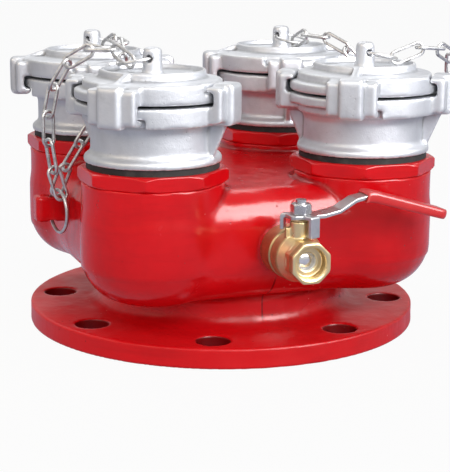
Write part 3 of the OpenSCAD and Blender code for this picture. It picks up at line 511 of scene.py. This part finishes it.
def plan_distance(x, y, size):
    """Distance in plan to the chamber's outline: four round barrels joined by hollowed walls.

    By symmetry only one eighth is worked out, u across the wall and v along it. There the outline is the
    barrel's arc, a blend of the opposite curve and a straight wall, each tangent to the next. The blend's
    centre stands off the wall by its radius, and its distance from the barrel's axis is the sum of both.
    """
    corner, radius, wall, blend = size.pitch / 2, size.corner_radius, size.wall, size.blend
    u, v = np.maximum(np.abs(x), np.abs(y)), np.minimum(np.abs(x), np.abs(y))
    blend_u = wall + blend
    blend_v = corner - math.sqrt((radius + blend) ** 2 - (blend_u - corner) ** 2)
    to_barrel = np.hypot(u - corner, v - corner) - radius
    to_blend = blend - np.hypot(u - blend_u, v - blend_v)
    beside = (u - corner) * (corner - blend_v) + (v - corner) * (blend_u - corner) < 0
    curved = np.where((v > blend_v) & beside, to_blend, to_barrel)
    return np.where(v <= blend_v, u - wall, curved)


def chamber(x, y, z, size, inset=0.0):
    """Distance to the pillow, drawn in by inset: the plan outline with both its edges rounded."""
    low, high = size.chamber_low + inset, size.chamber_high - inset
    lower_edge, upper_edge = size.lower_edge - inset, size.upper_edge - inset
    below = z < low + lower_edge
    edge = np.where(below, lower_edge, upper_edge)
    across = plan_distance(x, y, size) + inset + edge
    up = np.where(below, low - z, z - high) + edge
    outside = np.hypot(np.maximum(across, 0), np.maximum(up, 0))
    return outside + np.minimum(np.maximum(across, up), 0) - edge


def body_solid(x, y, z, size):
    """Distance to the uncut casting: flange, neck, chamber, barrels, lugs and drain pad."""
    rho = np.hypot(x, y)
    corner = size.pitch / 2
    u, v = np.abs(x), np.abs(y)
    flange = capped_cylinder(rho, z, size.flange / 2, 0.0, size.flange_height, 1.4)
    neck = capped_cylinder(rho, z, size.neck / 2, 2.0, size.chamber_low + NECK_INSIDE, 1.0)
    to_barrel = np.hypot(u - corner, v - corner)
    barrel = capped_cylinder(to_barrel, z, size.barrel / 2, BARREL_ROOT, size.barrel_top, 0.8)
    to_drain = np.hypot(x, z - DRAIN_Z)
    pad = capped_cylinder(to_drain, y, DRAIN_PAD_RADIUS, -size.wall - 1, -size.wall + 6, 0.8)
    solid = np.maximum(smooth_union(flange, neck, NECK_FILLET), -z)
    solid = smooth_union(solid, chamber(x, y, z, size), CHAMBER_FILLET)
    solid = smooth_union(solid, barrel, BARREL_FILLET)
    solid = smooth_union(solid, block(u, y, z, LUG_LOW, LUG_HIGH, 2.2), LUG_FILLET)
    return smooth_union(solid, pad, PAD_FILLET)


def body_distance(q, size):
    """Distance in millimetres to the whole painted casting, negative inside the metal."""
    x, y, z = q
    rho = np.hypot(x, y)
    corner = size.pitch / 2
    u, v = np.abs(x), np.abs(y)
    outlet = np.maximum(rho - size.outlet / 2, z - size.chamber_low - NECK_INSIDE)
    mouths = np.maximum(np.hypot(u - corner, v - corner) - BORE_RADIUS, BORE_FLOOR - z)
    hollow = np.minimum(np.minimum(chamber(x, y, z, size, WALL), outlet), mouths)
    turn = math.tau / size.bolts
    angle = np.mod(np.arctan2(y, x), turn) - turn / 2
    along, aside = rho * np.cos(angle) - size.bolt_circle / 2, rho * np.sin(angle)
    bolt_holes = np.maximum(np.hypot(along, aside) - size.bolt_hole / 2, z - size.flange_height - 5)
    lug_holes = np.maximum(np.hypot(u - LUG_HOLE_X, y) - LUG_HOLE_RADIUS, LUG_HOLE_FLOOR - z)
    drain = np.maximum(np.hypot(x, z - DRAIN_Z) - DRAIN_BORE_RADIUS, y - DRAIN_BORE_END)
    solid = smooth_cut(body_solid(x, y, z, size), hollow, EASE)
    solid = smooth_cut(solid, bolt_holes, EASE)
    solid = smooth_cut(solid, lug_holes, FINE_EASE)
    return smooth_cut(solid, drain, FINE_EASE)


def cast_lumps(q):
    """Slow waves of a sand mould, in millimetres, that only hollow the skin.

    They are three sines, one along each axis, each bent by another one.
    """
    deepest = 0.45
    x, y, z = q
    waves = (
        np.sin(x / 17.0 + 1.3 * np.sin(y / 23.0) + 0.4)
        + np.sin(y / 19.0 + 1.1 * np.sin(z / 15.0) + 2.1)
        + np.sin(z / 13.0 + 1.2 * np.sin(x / 27.0) + 4.0)
    )
    return deepest / 6 * (waves + 3.0)


def layers(low, high, cell, fine, spans):
    """Grid lines from low to high: cell apart, but fine apart within the spans."""
    lines = [low]
    while lines[-1] < high:
        here = lines[-1]
        close = any(a - fine <= here < b for a, b in spans)
        lines.append(here + (fine if close else cell))
    return np.array(lines)


def gradient(distance, q, here, step=0.02):
    """Slope of a distance field at the points q, by differences of step millimetres."""
    return np.stack([(distance(q + step * axis[:, None]) - here) / step for axis in np.eye(3)], 1)


def surface_net(distance, lines):
    """The zero surface of a distance field as quads, wound to face outwards.

    The field is sampled where the given lines cross. Each cell that the surface passes through gets one
    vertex, at the mean of the crossings on its edges. Each grid edge that the surface crosses joins the
    four cells round it with a quad. The vertices are then drawn onto the surface along the gradient g, in
    steps of -d g / |g|^2, where |g|^2 is at least flattest and a step at most reach cells.
    """
    draws, flattest, reach = 3, 0.2, 0.6
    counts = [len(line) for line in lines]
    value = distance(np.meshgrid(*lines, indexing="ij")).astype(np.float32)
    inside = value < 0
    shifts = [(i, j, k) for i in (0, 1) for j in (0, 1) for k in (0, 1)]
    corners = np.zeros([n - 1 for n in counts], np.uint8)
    for shift in shifts:
        corners += inside[tuple(slice(o, n - 1 + o) for o, n in zip(shift, counts))]
    crossed = (corners > 0) & (corners < len(shifts))
    index = np.full(crossed.shape, -1, np.int64)
    cells = np.argwhere(crossed)
    index[tuple(cells.T)] = np.arange(len(cells))

    total = np.zeros((len(cells), 3))
    count = np.zeros(len(cells))
    for start in shifts:
        for axis in range(3):
            if start[axis]:
                continue
            end = tuple(v + (k == axis) for k, v in enumerate(start))
            near = value[tuple((cells + start).T)]
            far = value[tuple((cells + end).T)]
            crosses = (near < 0) != (far < 0)
            t = np.where(crosses, near / np.where(crosses, near - far, 1.0), 0.0)
            point = np.array(start, float)[None, :] + t[:, None] * np.eye(3)[axis][None, :]
            total += np.where(crosses[:, None], point, 0.0)
            count += crosses
    starts = [line[cells[:, k]] for k, line in enumerate(lines)]
    sizes = np.stack([np.diff(line)[cells[:, k]] for k, line in enumerate(lines)], 1)
    vertices = np.stack(starts, 1) + sizes * (total / count[:, None])

    quads = []
    units = np.eye(3, dtype=int)
    for axis in range(3):
        start = tuple(slice(0, n - 1) if k == axis else slice(1, n - 1) for k, n in enumerate(counts))
        end = tuple(slice(1, n) if k == axis else slice(1, n - 1) for k, n in enumerate(counts))
        here, there = inside[start], inside[end]
        edges = np.argwhere(here != there)
        facing = here[tuple(edges.T)]
        edges = edges + 1 - units[axis]
        du, dv = units[(axis + 1) % 3], units[(axis + 2) % 3]
        ring = [edges - du - dv, edges - dv, edges, edges - du]
        quad = np.stack([index[tuple(r.T)] for r in ring], 1)
        quads.append(np.where(facing[:, None], quad, quad[:, ::-1]))

    for _ in range(draws):
        here = distance(vertices.T)
        slope = gradient(distance, vertices.T, here)
        steepness = np.maximum((slope**2).sum(1), flattest)
        move = -(here / steepness)[:, None] * slope
        vertices = vertices + np.clip(move, -reach * sizes, reach * sizes)
    return vertices, np.concatenate(quads)


# ---------------------------------------------------------------- the grip

# x and z of the sleeve's centre line, in millimetres, from its open end to its tip
SLEEVE_LINE = ((43.0, 112.4), (46.0, 112.75), (49.5, 112.3), (53.0, 111.3), (101.6, 97.35))


def rounded_rectangle(half_wide, half_high, radius, steps=7):
    """Rectangles with quarter-circle corners, one a station: a centre plus r cos t and r sin t."""
    turns = np.linspace(0.0, math.pi / 2, steps)
    around = np.concatenate([turns + k * math.pi / 2 for k in range(4)])
    side = np.repeat([(1, 1), (-1, 1), (-1, -1), (1, -1)], steps, axis=0)
    wide, high, r = (v[:, None] for v in (half_wide, half_high, radius))
    across = side[:, 0] * (wide - r) + r * np.cos(around)
    up = side[:, 1] * (high - r) + r * np.sin(around)
    return across, up


def rounded_off(reach, radius):
    """How much a half width loses at reach from its end there: r - sqrt(r^2 - (r - reach)^2)."""
    left = np.clip(radius - reach, 0.0, radius)
    return radius - np.sqrt(np.maximum(radius**2 - left**2, 0.0))


def sleeve_stations():
    """Places along the sleeve's centre line, and the half width, half height and corner radius at each.

    The first stations run out of the hollow end and turn over its rim. The last ones close the far end,
    where the width and the height are rounded off, each by its own radius.
    """
    hollow, rim = np.array([5.0, 4.0, 0.3, 0.0]), np.array([0.0, 0.15, 0.5, 1.0])
    hollow_wide, hollow_high, hollow_corner = 7.7, 1.75, 0.8
    lip = np.array([1.1, 0.55, 0.2, 0.0])
    end_radius, edge_radius, end_steps = 6.0, 2.2, 12
    line = np.array(SLEEVE_LINE)
    stretch = np.concatenate([[0], np.cumsum(np.hypot(*np.diff(line, axis=0).T))])
    whole = stretch[-1]
    shaft = np.linspace(2.0, whole - end_radius, 40)
    ending = whole - end_radius * (1 - np.sin(np.linspace(0.1, 1.0, end_steps) * math.pi / 2))
    s = np.concatenate([hollow, rim, shaft, ending])
    x, z = np.interp(s, stretch, line[:, 0]), np.interp(s, stretch, line[:, 1])
    share = s / whole
    wide, high, corner = 8.6 + 0.9 * share, 3.6 - 0.3 * share, np.full(len(s), 2.4)
    inside, turned, closing = slice(0, 4), slice(4, 8), slice(-end_steps, None)
    wide[inside], high[inside], corner[inside] = hollow_wide, hollow_high, hollow_corner
    wide[turned] -= lip
    high[turned] -= lip
    reach = np.clip(whole - s[closing], 0.0, end_radius)
    wide[closing] -= rounded_off(reach, end_radius)
    high[closing] -= rounded_off(reach, edge_radius)
    return x, z, wide, high, np.minimum(corner, np.minimum(wide, high) - 0.05)


def grip_sleeve():
    """The lever's sleeve: rounded rectangles swept along its centre line, with an open near end.

    A point a across and b up at a station lies at (x - b sin t, y + a, z + b cos t), where t is the
    line's slope beyond its open end.
    """
    x, z, wide, high, corner = sleeve_stations()
    across, up = rounded_rectangle(wide, high, corner)
    slope = np.arctan2(np.gradient(z)[8:].mean(), np.gradient(x)[8:].mean())
    along, above = x[:, None] - np.sin(slope) * up, z[:, None] + np.cos(slope) * up
    rings = np.stack([along, DRAIN_Y + across, above], 2)
    index = np.arange(across.size).reshape(across.shape)
    following = np.roll(index, -1, axis=1)
    sides = np.stack([index[:-1], following[:-1], following[1:], index[1:]], 2).reshape(-1, 4)
    points = np.concatenate([rings.reshape(-1, 3), rings[[0, -1]].mean(axis=1)])
    first, last = len(points) - 2, len(points) - 1
    ends = [(first, b, a) for a, b in zip(index[0], following[0])]
    ends += [(last, a, b) for a, b in zip(index[-1], following[-1])]
    return points * MM, sides.tolist() + ends


# ---------------------------------------------------------------- settings


def length(name, description, millimetres):
    """A length in Blender's metres, written here in millimetres."""
    size = millimetres * MM
    return FloatProperty(name=name, description=description, default=size, min=0.0, unit="LENGTH")


def angle(name, description, degrees):
    """An angle in Blender's radians, written here in degrees."""
    turn = math.radians(degrees)
    return FloatProperty(name=name, description=description, default=turn, subtype="ANGLE")


def colour(name, description, red, green, blue):
    """A linear colour."""
    return FloatVectorProperty(
        name=name, description=description, default=(red, green, blue), min=0.0, max=1.0, subtype="COLOR"
    )


def in_millimetres(group):
    """The values of a property group by name, with its lengths in millimetres."""
    values = {}
    for key in group.__annotations__:
        value = getattr(group, key)
        is_length = group.bl_rna.properties[key].unit == "LENGTH"
        values[key] = round(value / MM, 4) if is_length else value
    return SimpleNamespace(**values)


class CastBody(bpy.types.PropertyGroup):
    """Sizes of the painted casting."""

    pitch: length("Inlet pitch", "Distance between neighbouring inlets", 152.0)
    corner_radius: length("Corner radius", "Radius of the chamber's corners", 48.2)
    barrel: length("Barrel", "Diameter of the barrel under an inlet", 95.0)
    barrel_top: length("Barrel top", "Height of the barrels' faces", 117.2)
    wall: length("Wall", "Distance of the flat walls from the axis", 116.2)
    blend: length("Blend", "Blend radius beside a barrel", 58.0)
    chamber_low: length("Chamber underside", "Height of the underside", 36.0)
    lower_edge: length("Lower edge", "Rounding of the lower edge", 31.0)
    upper_edge: length("Upper edge", "Rounding of the upper edge", 24.0)
    chamber_high: length("Chamber top", "Height of the flat top", 112.0)
    neck: length("Neck", "Diameter of the neck", 178.0)
    outlet: length("Outlet", "Diameter of the outlet's bore", 150.0)
    flange: length("Flange", "Diameter of the base flange", 280.0)
    flange_height: length("Flange thickness", "Thickness of the flange", 14.0)
    bolt_circle: length("Bolt circle", "Diameter of the bolt circle", 240.0)
    bolt_hole: length("Bolt hole", "Diameter of a bolt hole", 23.0)
    bolts: IntProperty(name="Bolt holes", description="Number of bolt holes", default=8, min=4)
    cell: length("Cell", "Size of the skin's mesh cells", 2.35)


class Finish(bpy.types.PropertyGroup):
    """Colours of the finishes."""

    paint: colour("Paint", "Enamel on the castings", 0.72, 0.003, 0.007)
    aluminium: colour("Aluminium", "Cast couplings and caps", 0.6, 0.617, 0.652)
    # this colour also gives the painted shade in the aluminium's hollows
    stain: colour("Stain", "Darker stains on the aluminium", 0.4, 0.41, 0.43)
    brass: colour("Brass", "Drain valve", 0.52, 0.385, 0.2)
    steel: colour("Steel", "Lever and nut", 0.56, 0.56, 0.57)
    plating: colour("Plating", "Chains and rings", 0.62, 0.62, 0.62)
    rubber: colour("Rubber", "Gaskets and seals", 0.018, 0.017, 0.017)
    grip: colour("Grip", "Lever's grip", 0.66, 0.012, 0.014)
    bronze: colour("Bronze", "Check valves", 0.62, 0.42, 0.2)
    spring: colour("Spring wire", "Check valves' springs", 0.6, 0.6, 0.62)
    chrome: colour("Chrome", "Drain valve's ball", 0.8, 0.8, 0.82)


class Stage(bpy.types.PropertyGroup):
    """Camera and light."""

    focal: FloatProperty(name="Focal length", description="Lens", default=108.7, unit="CAMERA")
    eye: FloatVectorProperty(
        name="Eye",
        description="Camera's place",
        default=(-0.3499, -0.9621, 0.2869),
        subtype="TRANSLATION",
        unit="LENGTH",
    )
    heading: angle("Heading", "Camera's heading from +Y", 20.13)
    dip: angle("Dip", "Camera's dip below the horizon", 12.61)
    roll: angle("Roll", "Camera's roll", 0.4)
    sky: FloatProperty(name="Sky", description="Strength of the even light from all round", default=0.4)


# ---------------------------------------------------------------- operators


class PieceOperator:
    """What the operators share."""

    bl_options = {"REGISTER", "UNDO"}


class BuildCasting(PieceOperator, bpy.types.Operator):
    """Builds the painted body as one cast skin"""

    bl_idname = "inlet.casting"
    bl_label = "Body casting"

    def execute(self, context):
        size = in_millimetres(context.scene.cast_body)
        paint = paint_material("red_enamel", context.scene.finishes.paint)
        reach, fine, fade, foot = 142.0, 0.7, 4.0, 2.0
        plan = np.arange(-reach, reach + 0.1, size.cell)
        rims = [(-1.0, 2.2), (size.flange_height - 2.2, size.flange_height + 0.6)]
        rims.append((size.barrel_top - 1.5, size.barrel_top + 0.8))
        upright = layers(-2.0, size.barrel_top + 2.5, size.cell, fine, rims)

        def field(q):
            """The casting with its lumps, which fade out towards the two machined faces."""
            above = np.clip((q[2] - foot) / fade, 0.0, 1.0)
            below = np.clip((size.barrel_top - q[2]) / fade, 0.0, 1.0)
            return body_distance(q, size) + cast_lumps(q) * (above * below)

        vertices, faces = surface_net(field, (plan, plan, upright))
        skin = new_object("body_skin", vertices * MM, faces, paint)
        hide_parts("body_casting")
        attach(skin, "valve_body")
        bushes = paint_material("red_enamel_bush", context.scene.finishes.paint, 0.5)
        for key in INLETS:
            node = "inlet_bush_" + key
            piece = softened(node, "bush_" + key, 0.8, bushes, 2)
            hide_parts(node)
            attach(piece, "valve_body")
        return {"FINISHED"}


class BuildCouplings(PieceOperator, bpy.types.Operator):
    """Builds the cast claw couplings, their caps and their rubbers"""

    bl_idname = "inlet.couplings"
    bl_label = "Couplings and caps"

    def execute(self, context):
        finish = context.scene.finishes
        metal = cast_aluminium_material("blasted_aluminium", finish.aluminium, finish.stain)
        rubber = rubber_material("black_rubber", finish.rubber)
        for key in INLETS:
            for kind, body in (("coupling_", "valve_body"), ("cap_", "cap_%s_turning" % key)):
                piece = softened(kind + key, "cast_" + kind + key, 1.0, metal, 7)
                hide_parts(kind + key)
                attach(piece, body)
            dress("cap_seal_" + key, rubber)
            dress("check_seal_" + key, rubber)
        for node in ("coupling_gaskets", "coupling_seals"):
            dress(node, rubber)
        return {"FINISHED"}


class BuildChains(PieceOperator, bpy.types.Operator):
    """Finishes the rings and chains"""

    bl_idname = "inlet.chains"
    bl_label = "Rings and chains"

    def execute(self, context):
        wire = plated_wire_material("plated_wire", context.scene.finishes.plating)
        for key in INLETS:
            dress("chain_" + key, wire)
            dress("cap_ring_" + key, wire)
        dress("lug_ring_left", wire)
        dress("lug_ring_right", wire)
        return {"FINISHED"}


class BuildCheckValves(PieceOperator, bpy.types.Operator):
    """Finishes the spring check valves under the inlets"""

    bl_idname = "inlet.check_valves"
    bl_label = "Check valves"

    def execute(self, context):
        finish = context.scene.finishes
        bronze = brass_material("machined_bronze", finish.bronze, rough_cast=0.3)
        spring = plated_wire_material("spring_wire", finish.spring)
        for key in INLETS:
            dress("check_disc_" + key, bronze)
            dress("check_collar_" + key, bronze)
            dress("check_spring_" + key, spring)
        dress("check_spiders", bronze)
        return {"FINISHED"}


class BuildDrainValve(PieceOperator, bpy.types.Operator):
    """Builds the brass drain valve with its lever and grip"""

    bl_idname = "inlet.drain_valve"
    bl_label = "Drain valve"

    def execute(self, context):
        finish = context.scene.finishes
        lathed = ((-0.160, -0.1475), (-0.1675, -0.1645))
        cast = brass_material("cast_brass", finish.brass, turned=lathed)
        turned = brass_material("turned_brass", finish.brass, rough_cast=0.25)
        steel = bright_steel_material("pressed_steel", finish.steel, 0.2)
        nut = bright_steel_material("plated_nut", finish.steel, 0.16, "Z")
        chrome = bright_steel_material("chromed_ball", finish.chrome, 0.07, "Z")
        grip = grip_material("dipped_grip", finish.grip)
        seats = pale_seat_material("pale_seats")
        pieces = (
            ("drain_body", "valve_body", 0.55, cast, "brass"),
            ("drain_retainer", "valve_body", 0.55, turned, "brass"),
            ("drain_lever", "drain_handle", 0.4, steel, "stainless"),
            ("drain_nut", "drain_handle", 0.4, nut, "stainless"),
        )
        for node, body, voxel, material, slot in pieces:
            piece = softened(node, "fine_" + node, voxel, material, 2)
            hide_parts(node)
            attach(piece, body)
        sleeve = new_object("lever_sleeve", *grip_sleeve(), grip)
        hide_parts("drain_grip")
        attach(sleeve, "drain_handle")
        dress("drain_nipple", turned)
        dress("drain_gland", turned)
        dress("drain_stem", nut)
        dress("drain_ball", chrome)
        dress("drain_seats", seats)
        dress("drain_packing", seats)
        return {"FINISHED"}


def look_at_matrix(eye, heading, dip, roll):
    """Camera matrix from a heading measured from +Y towards +X, a dip below the horizon and a roll."""
    level = math.cos(dip)
    forward = Vector((math.sin(heading) * level, math.cos(heading) * level, -math.sin(dip)))
    right = forward.cross(Vector((0, 0, 1))).normalized()
    up = right.cross(forward)
    turned_right = right * math.cos(roll) + up * math.sin(roll)
    turned_up = up * math.cos(roll) - right * math.sin(roll)
    matrix = Matrix.Identity(4)
    for column, axis in enumerate((turned_right, turned_up, -forward)):
        for row in range(3):
            matrix[row][column] = axis[row]
    for row in range(3):
        matrix[row][3] = eye[row]
    return matrix


# name, azimuth from +X, elevation and distance of the lamp, its two sizes, its radiance, its colour, and
# whether it lights matt surfaces or is only seen in glossy ones
LAMPS = (
    ("warm_left", 200.0, 30.0, 1.3, 0.8, 0.6, 2.2, (1.0, 0.8, 0.58), True),
    ("front_above", 274.0, 28.0, 1.4, 0.9, 0.6, 6.0, (1.0, 1.0, 1.0), True),
    ("front_strip", 246.0, 42.0, 1.3, 1.0, 0.06, 16.0, (1.0, 1.0, 1.0), False),
    ("window", -57.0, 38.0, 1.2, 0.6, 0.95, 20.0, (1.0, 0.98, 0.98), False),
    ("cool_right", -30.0, 24.0, 1.4, 0.4, 0.7, 2.6, (0.84, 0.92, 1.0), True),
    ("back_top", 90.0, 50.0, 1.4, 1.2, 0.5, 2.6, (1.0, 1.0, 1.0), True),
)


class BuildStage(PieceOperator, bpy.types.Operator):
    """Sets the floor, the background, the lamps and the camera"""

    bl_idname = "inlet.stage"
    bl_label = "Stage"

    def floor(self):
        """A sheet just below the flange: grey to the light and nearly plain white when seen."""
        s = Shader(bpy.data.materials.new("pale_floor"))
        matt = s.node("ShaderNodeBsdfDiffuse", {}, Color=(0.46, 0.46, 0.46, 1.0))
        white = s.node("ShaderNodeEmission", {}, Color=WHITE, Strength=1.0)
        cool = s.node("ShaderNodeEmission", {}, Color=(0.62, 0.64, 0.82, 1.0), Strength=0.8)
        seen = s.seen_as("Is Camera Ray", 0.95, matt, white)
        seen = s.seen_as("Is Glossy Ray", 0.8, seen, cool)
        seen = s.seen_as("Is Transmission Ray", 1.0, seen, white)
        material = s.close("ShaderNodeOutputMaterial", seen)
        half, z = 6.0, -0.0004
        corners = [(-half, -half, z), (half, -half, z), (half, half, z), (-half, half, z)]
        plane = new_object("floor", corners, [(0, 1, 2, 3)], material, False)

    def world(self, context):
        """White when seen or looked through, dimmer as a light and in glossy surfaces."""
        s = Shader(bpy.data.worlds.new("studio"))
        white = s.node("ShaderNodeBackground", {}, Color=WHITE, Strength=1.0)
        sky = s.node("ShaderNodeBackground", {}, Color=WHITE, Strength=context.scene.stage_plan.sky)
        seen = s.seen_as("Is Glossy Ray", 0.35, sky, white)
        for ray in ("Is Camera Ray", "Is Transmission Ray"):
            seen = s.seen_as(ray, 1.0, seen, white)
        context.scene.world = s.close("ShaderNodeOutputWorld", seen)

    def lamps(self, context):
        """Area lamps that face the centre; the energy is the radiance times pi times the lamp's area."""
        centre = Vector((0, 0, 0.1))
        for name, azimuth, elevation, distance, wide, high, radiance, colour, matt in LAMPS:
            lamp = bpy.data.lights.new(name, "AREA")
            lamp.shape = "RECTANGLE"
            lamp.size = wide
            lamp.size_y = high
            lamp.energy = radiance * math.pi * wide * high
            lamp.color = colour
            made = bpy.data.objects.new(name, lamp)
            a, e = math.radians(azimuth), math.radians(elevation)
            towards = Vector((math.cos(e) * math.cos(a), math.cos(e) * math.sin(a), math.sin(e)))
            made.location = centre + distance * towards
            made.rotation_euler = towards.to_track_quat("Z", "Y").to_euler()
            made.visible_camera = False
            made.visible_diffuse = matt
            context.scene.collection.objects.link(made)

    def camera(self, context):
        """The lens at its place."""
        stage = context.scene.stage_plan
        lens = bpy.data.cameras.new("camera")
        lens.sensor_fit = "AUTO"
        lens.sensor_width = 36.0
        lens.lens = stage.focal
        lens.clip_start = 0.01
        lens.clip_end = 50.0
        made = bpy.data.objects.new("camera", lens)
        made.matrix_world = look_at_matrix(stage.eye, stage.heading, stage.dip, stage.roll)
        context.scene.collection.objects.link(made)
        context.scene.camera = made

    def execute(self, context):
        self.floor()
        self.world(context)
        self.lamps(context)
        self.camera(context)
        context.scene.view_settings.view_transform = "Standard"
        return {"FINISHED"}


PIECES = (BuildCasting, BuildCouplings, BuildChains, BuildCheckValves, BuildDrainValve, BuildStage)


class InletPanel(bpy.types.Panel):
    """Lists the pieces and their sizes"""

    bl_idname = "VIEW3D_PT_inlet"
    bl_label = "Fire department connection"
    bl_space_type = "VIEW_3D"
    bl_region_type = "UI"
    bl_category = "Inlet"

    def draw(self, context):
        for piece in PIECES:
            self.layout.operator(piece.bl_idname)
        for group in (context.scene.cast_body, context.scene.finishes, context.scene.stage_plan):
            box = self.layout.box()
            for key in group.__annotations__:
                box.prop(group, key)


CLASSES = (CastBody, Finish, Stage) + PIECES + (InletPanel,)


def register():
    """Adds the classes and the scene's three groups of values."""
    for item in CLASSES:
        bpy.utils.register_class(item)
    bpy.types.Scene.cast_body = PointerProperty(type=CastBody)
    bpy.types.Scene.finishes = PointerProperty(type=Finish)
    bpy.types.Scene.stage_plan = PointerProperty(type=Stage)


def unregister():
    """Takes away what register added, in the opposite order."""
    del bpy.types.Scene.stage_plan
    del bpy.types.Scene.finishes
    del bpy.types.Scene.cast_body
    for item in reversed(CLASSES):
        bpy.utils.unregister_class(item)


def main():
    """Builds every piece and the stage."""
    register()
    for piece in PIECES:
        group, name = piece.bl_idname.split(".")
        if getattr(getattr(bpy.ops, group), name)() != {"FINISHED"}:
            raise RuntimeError("could not finish " + piece.bl_label)


if __name__ == "__main__":
    main()
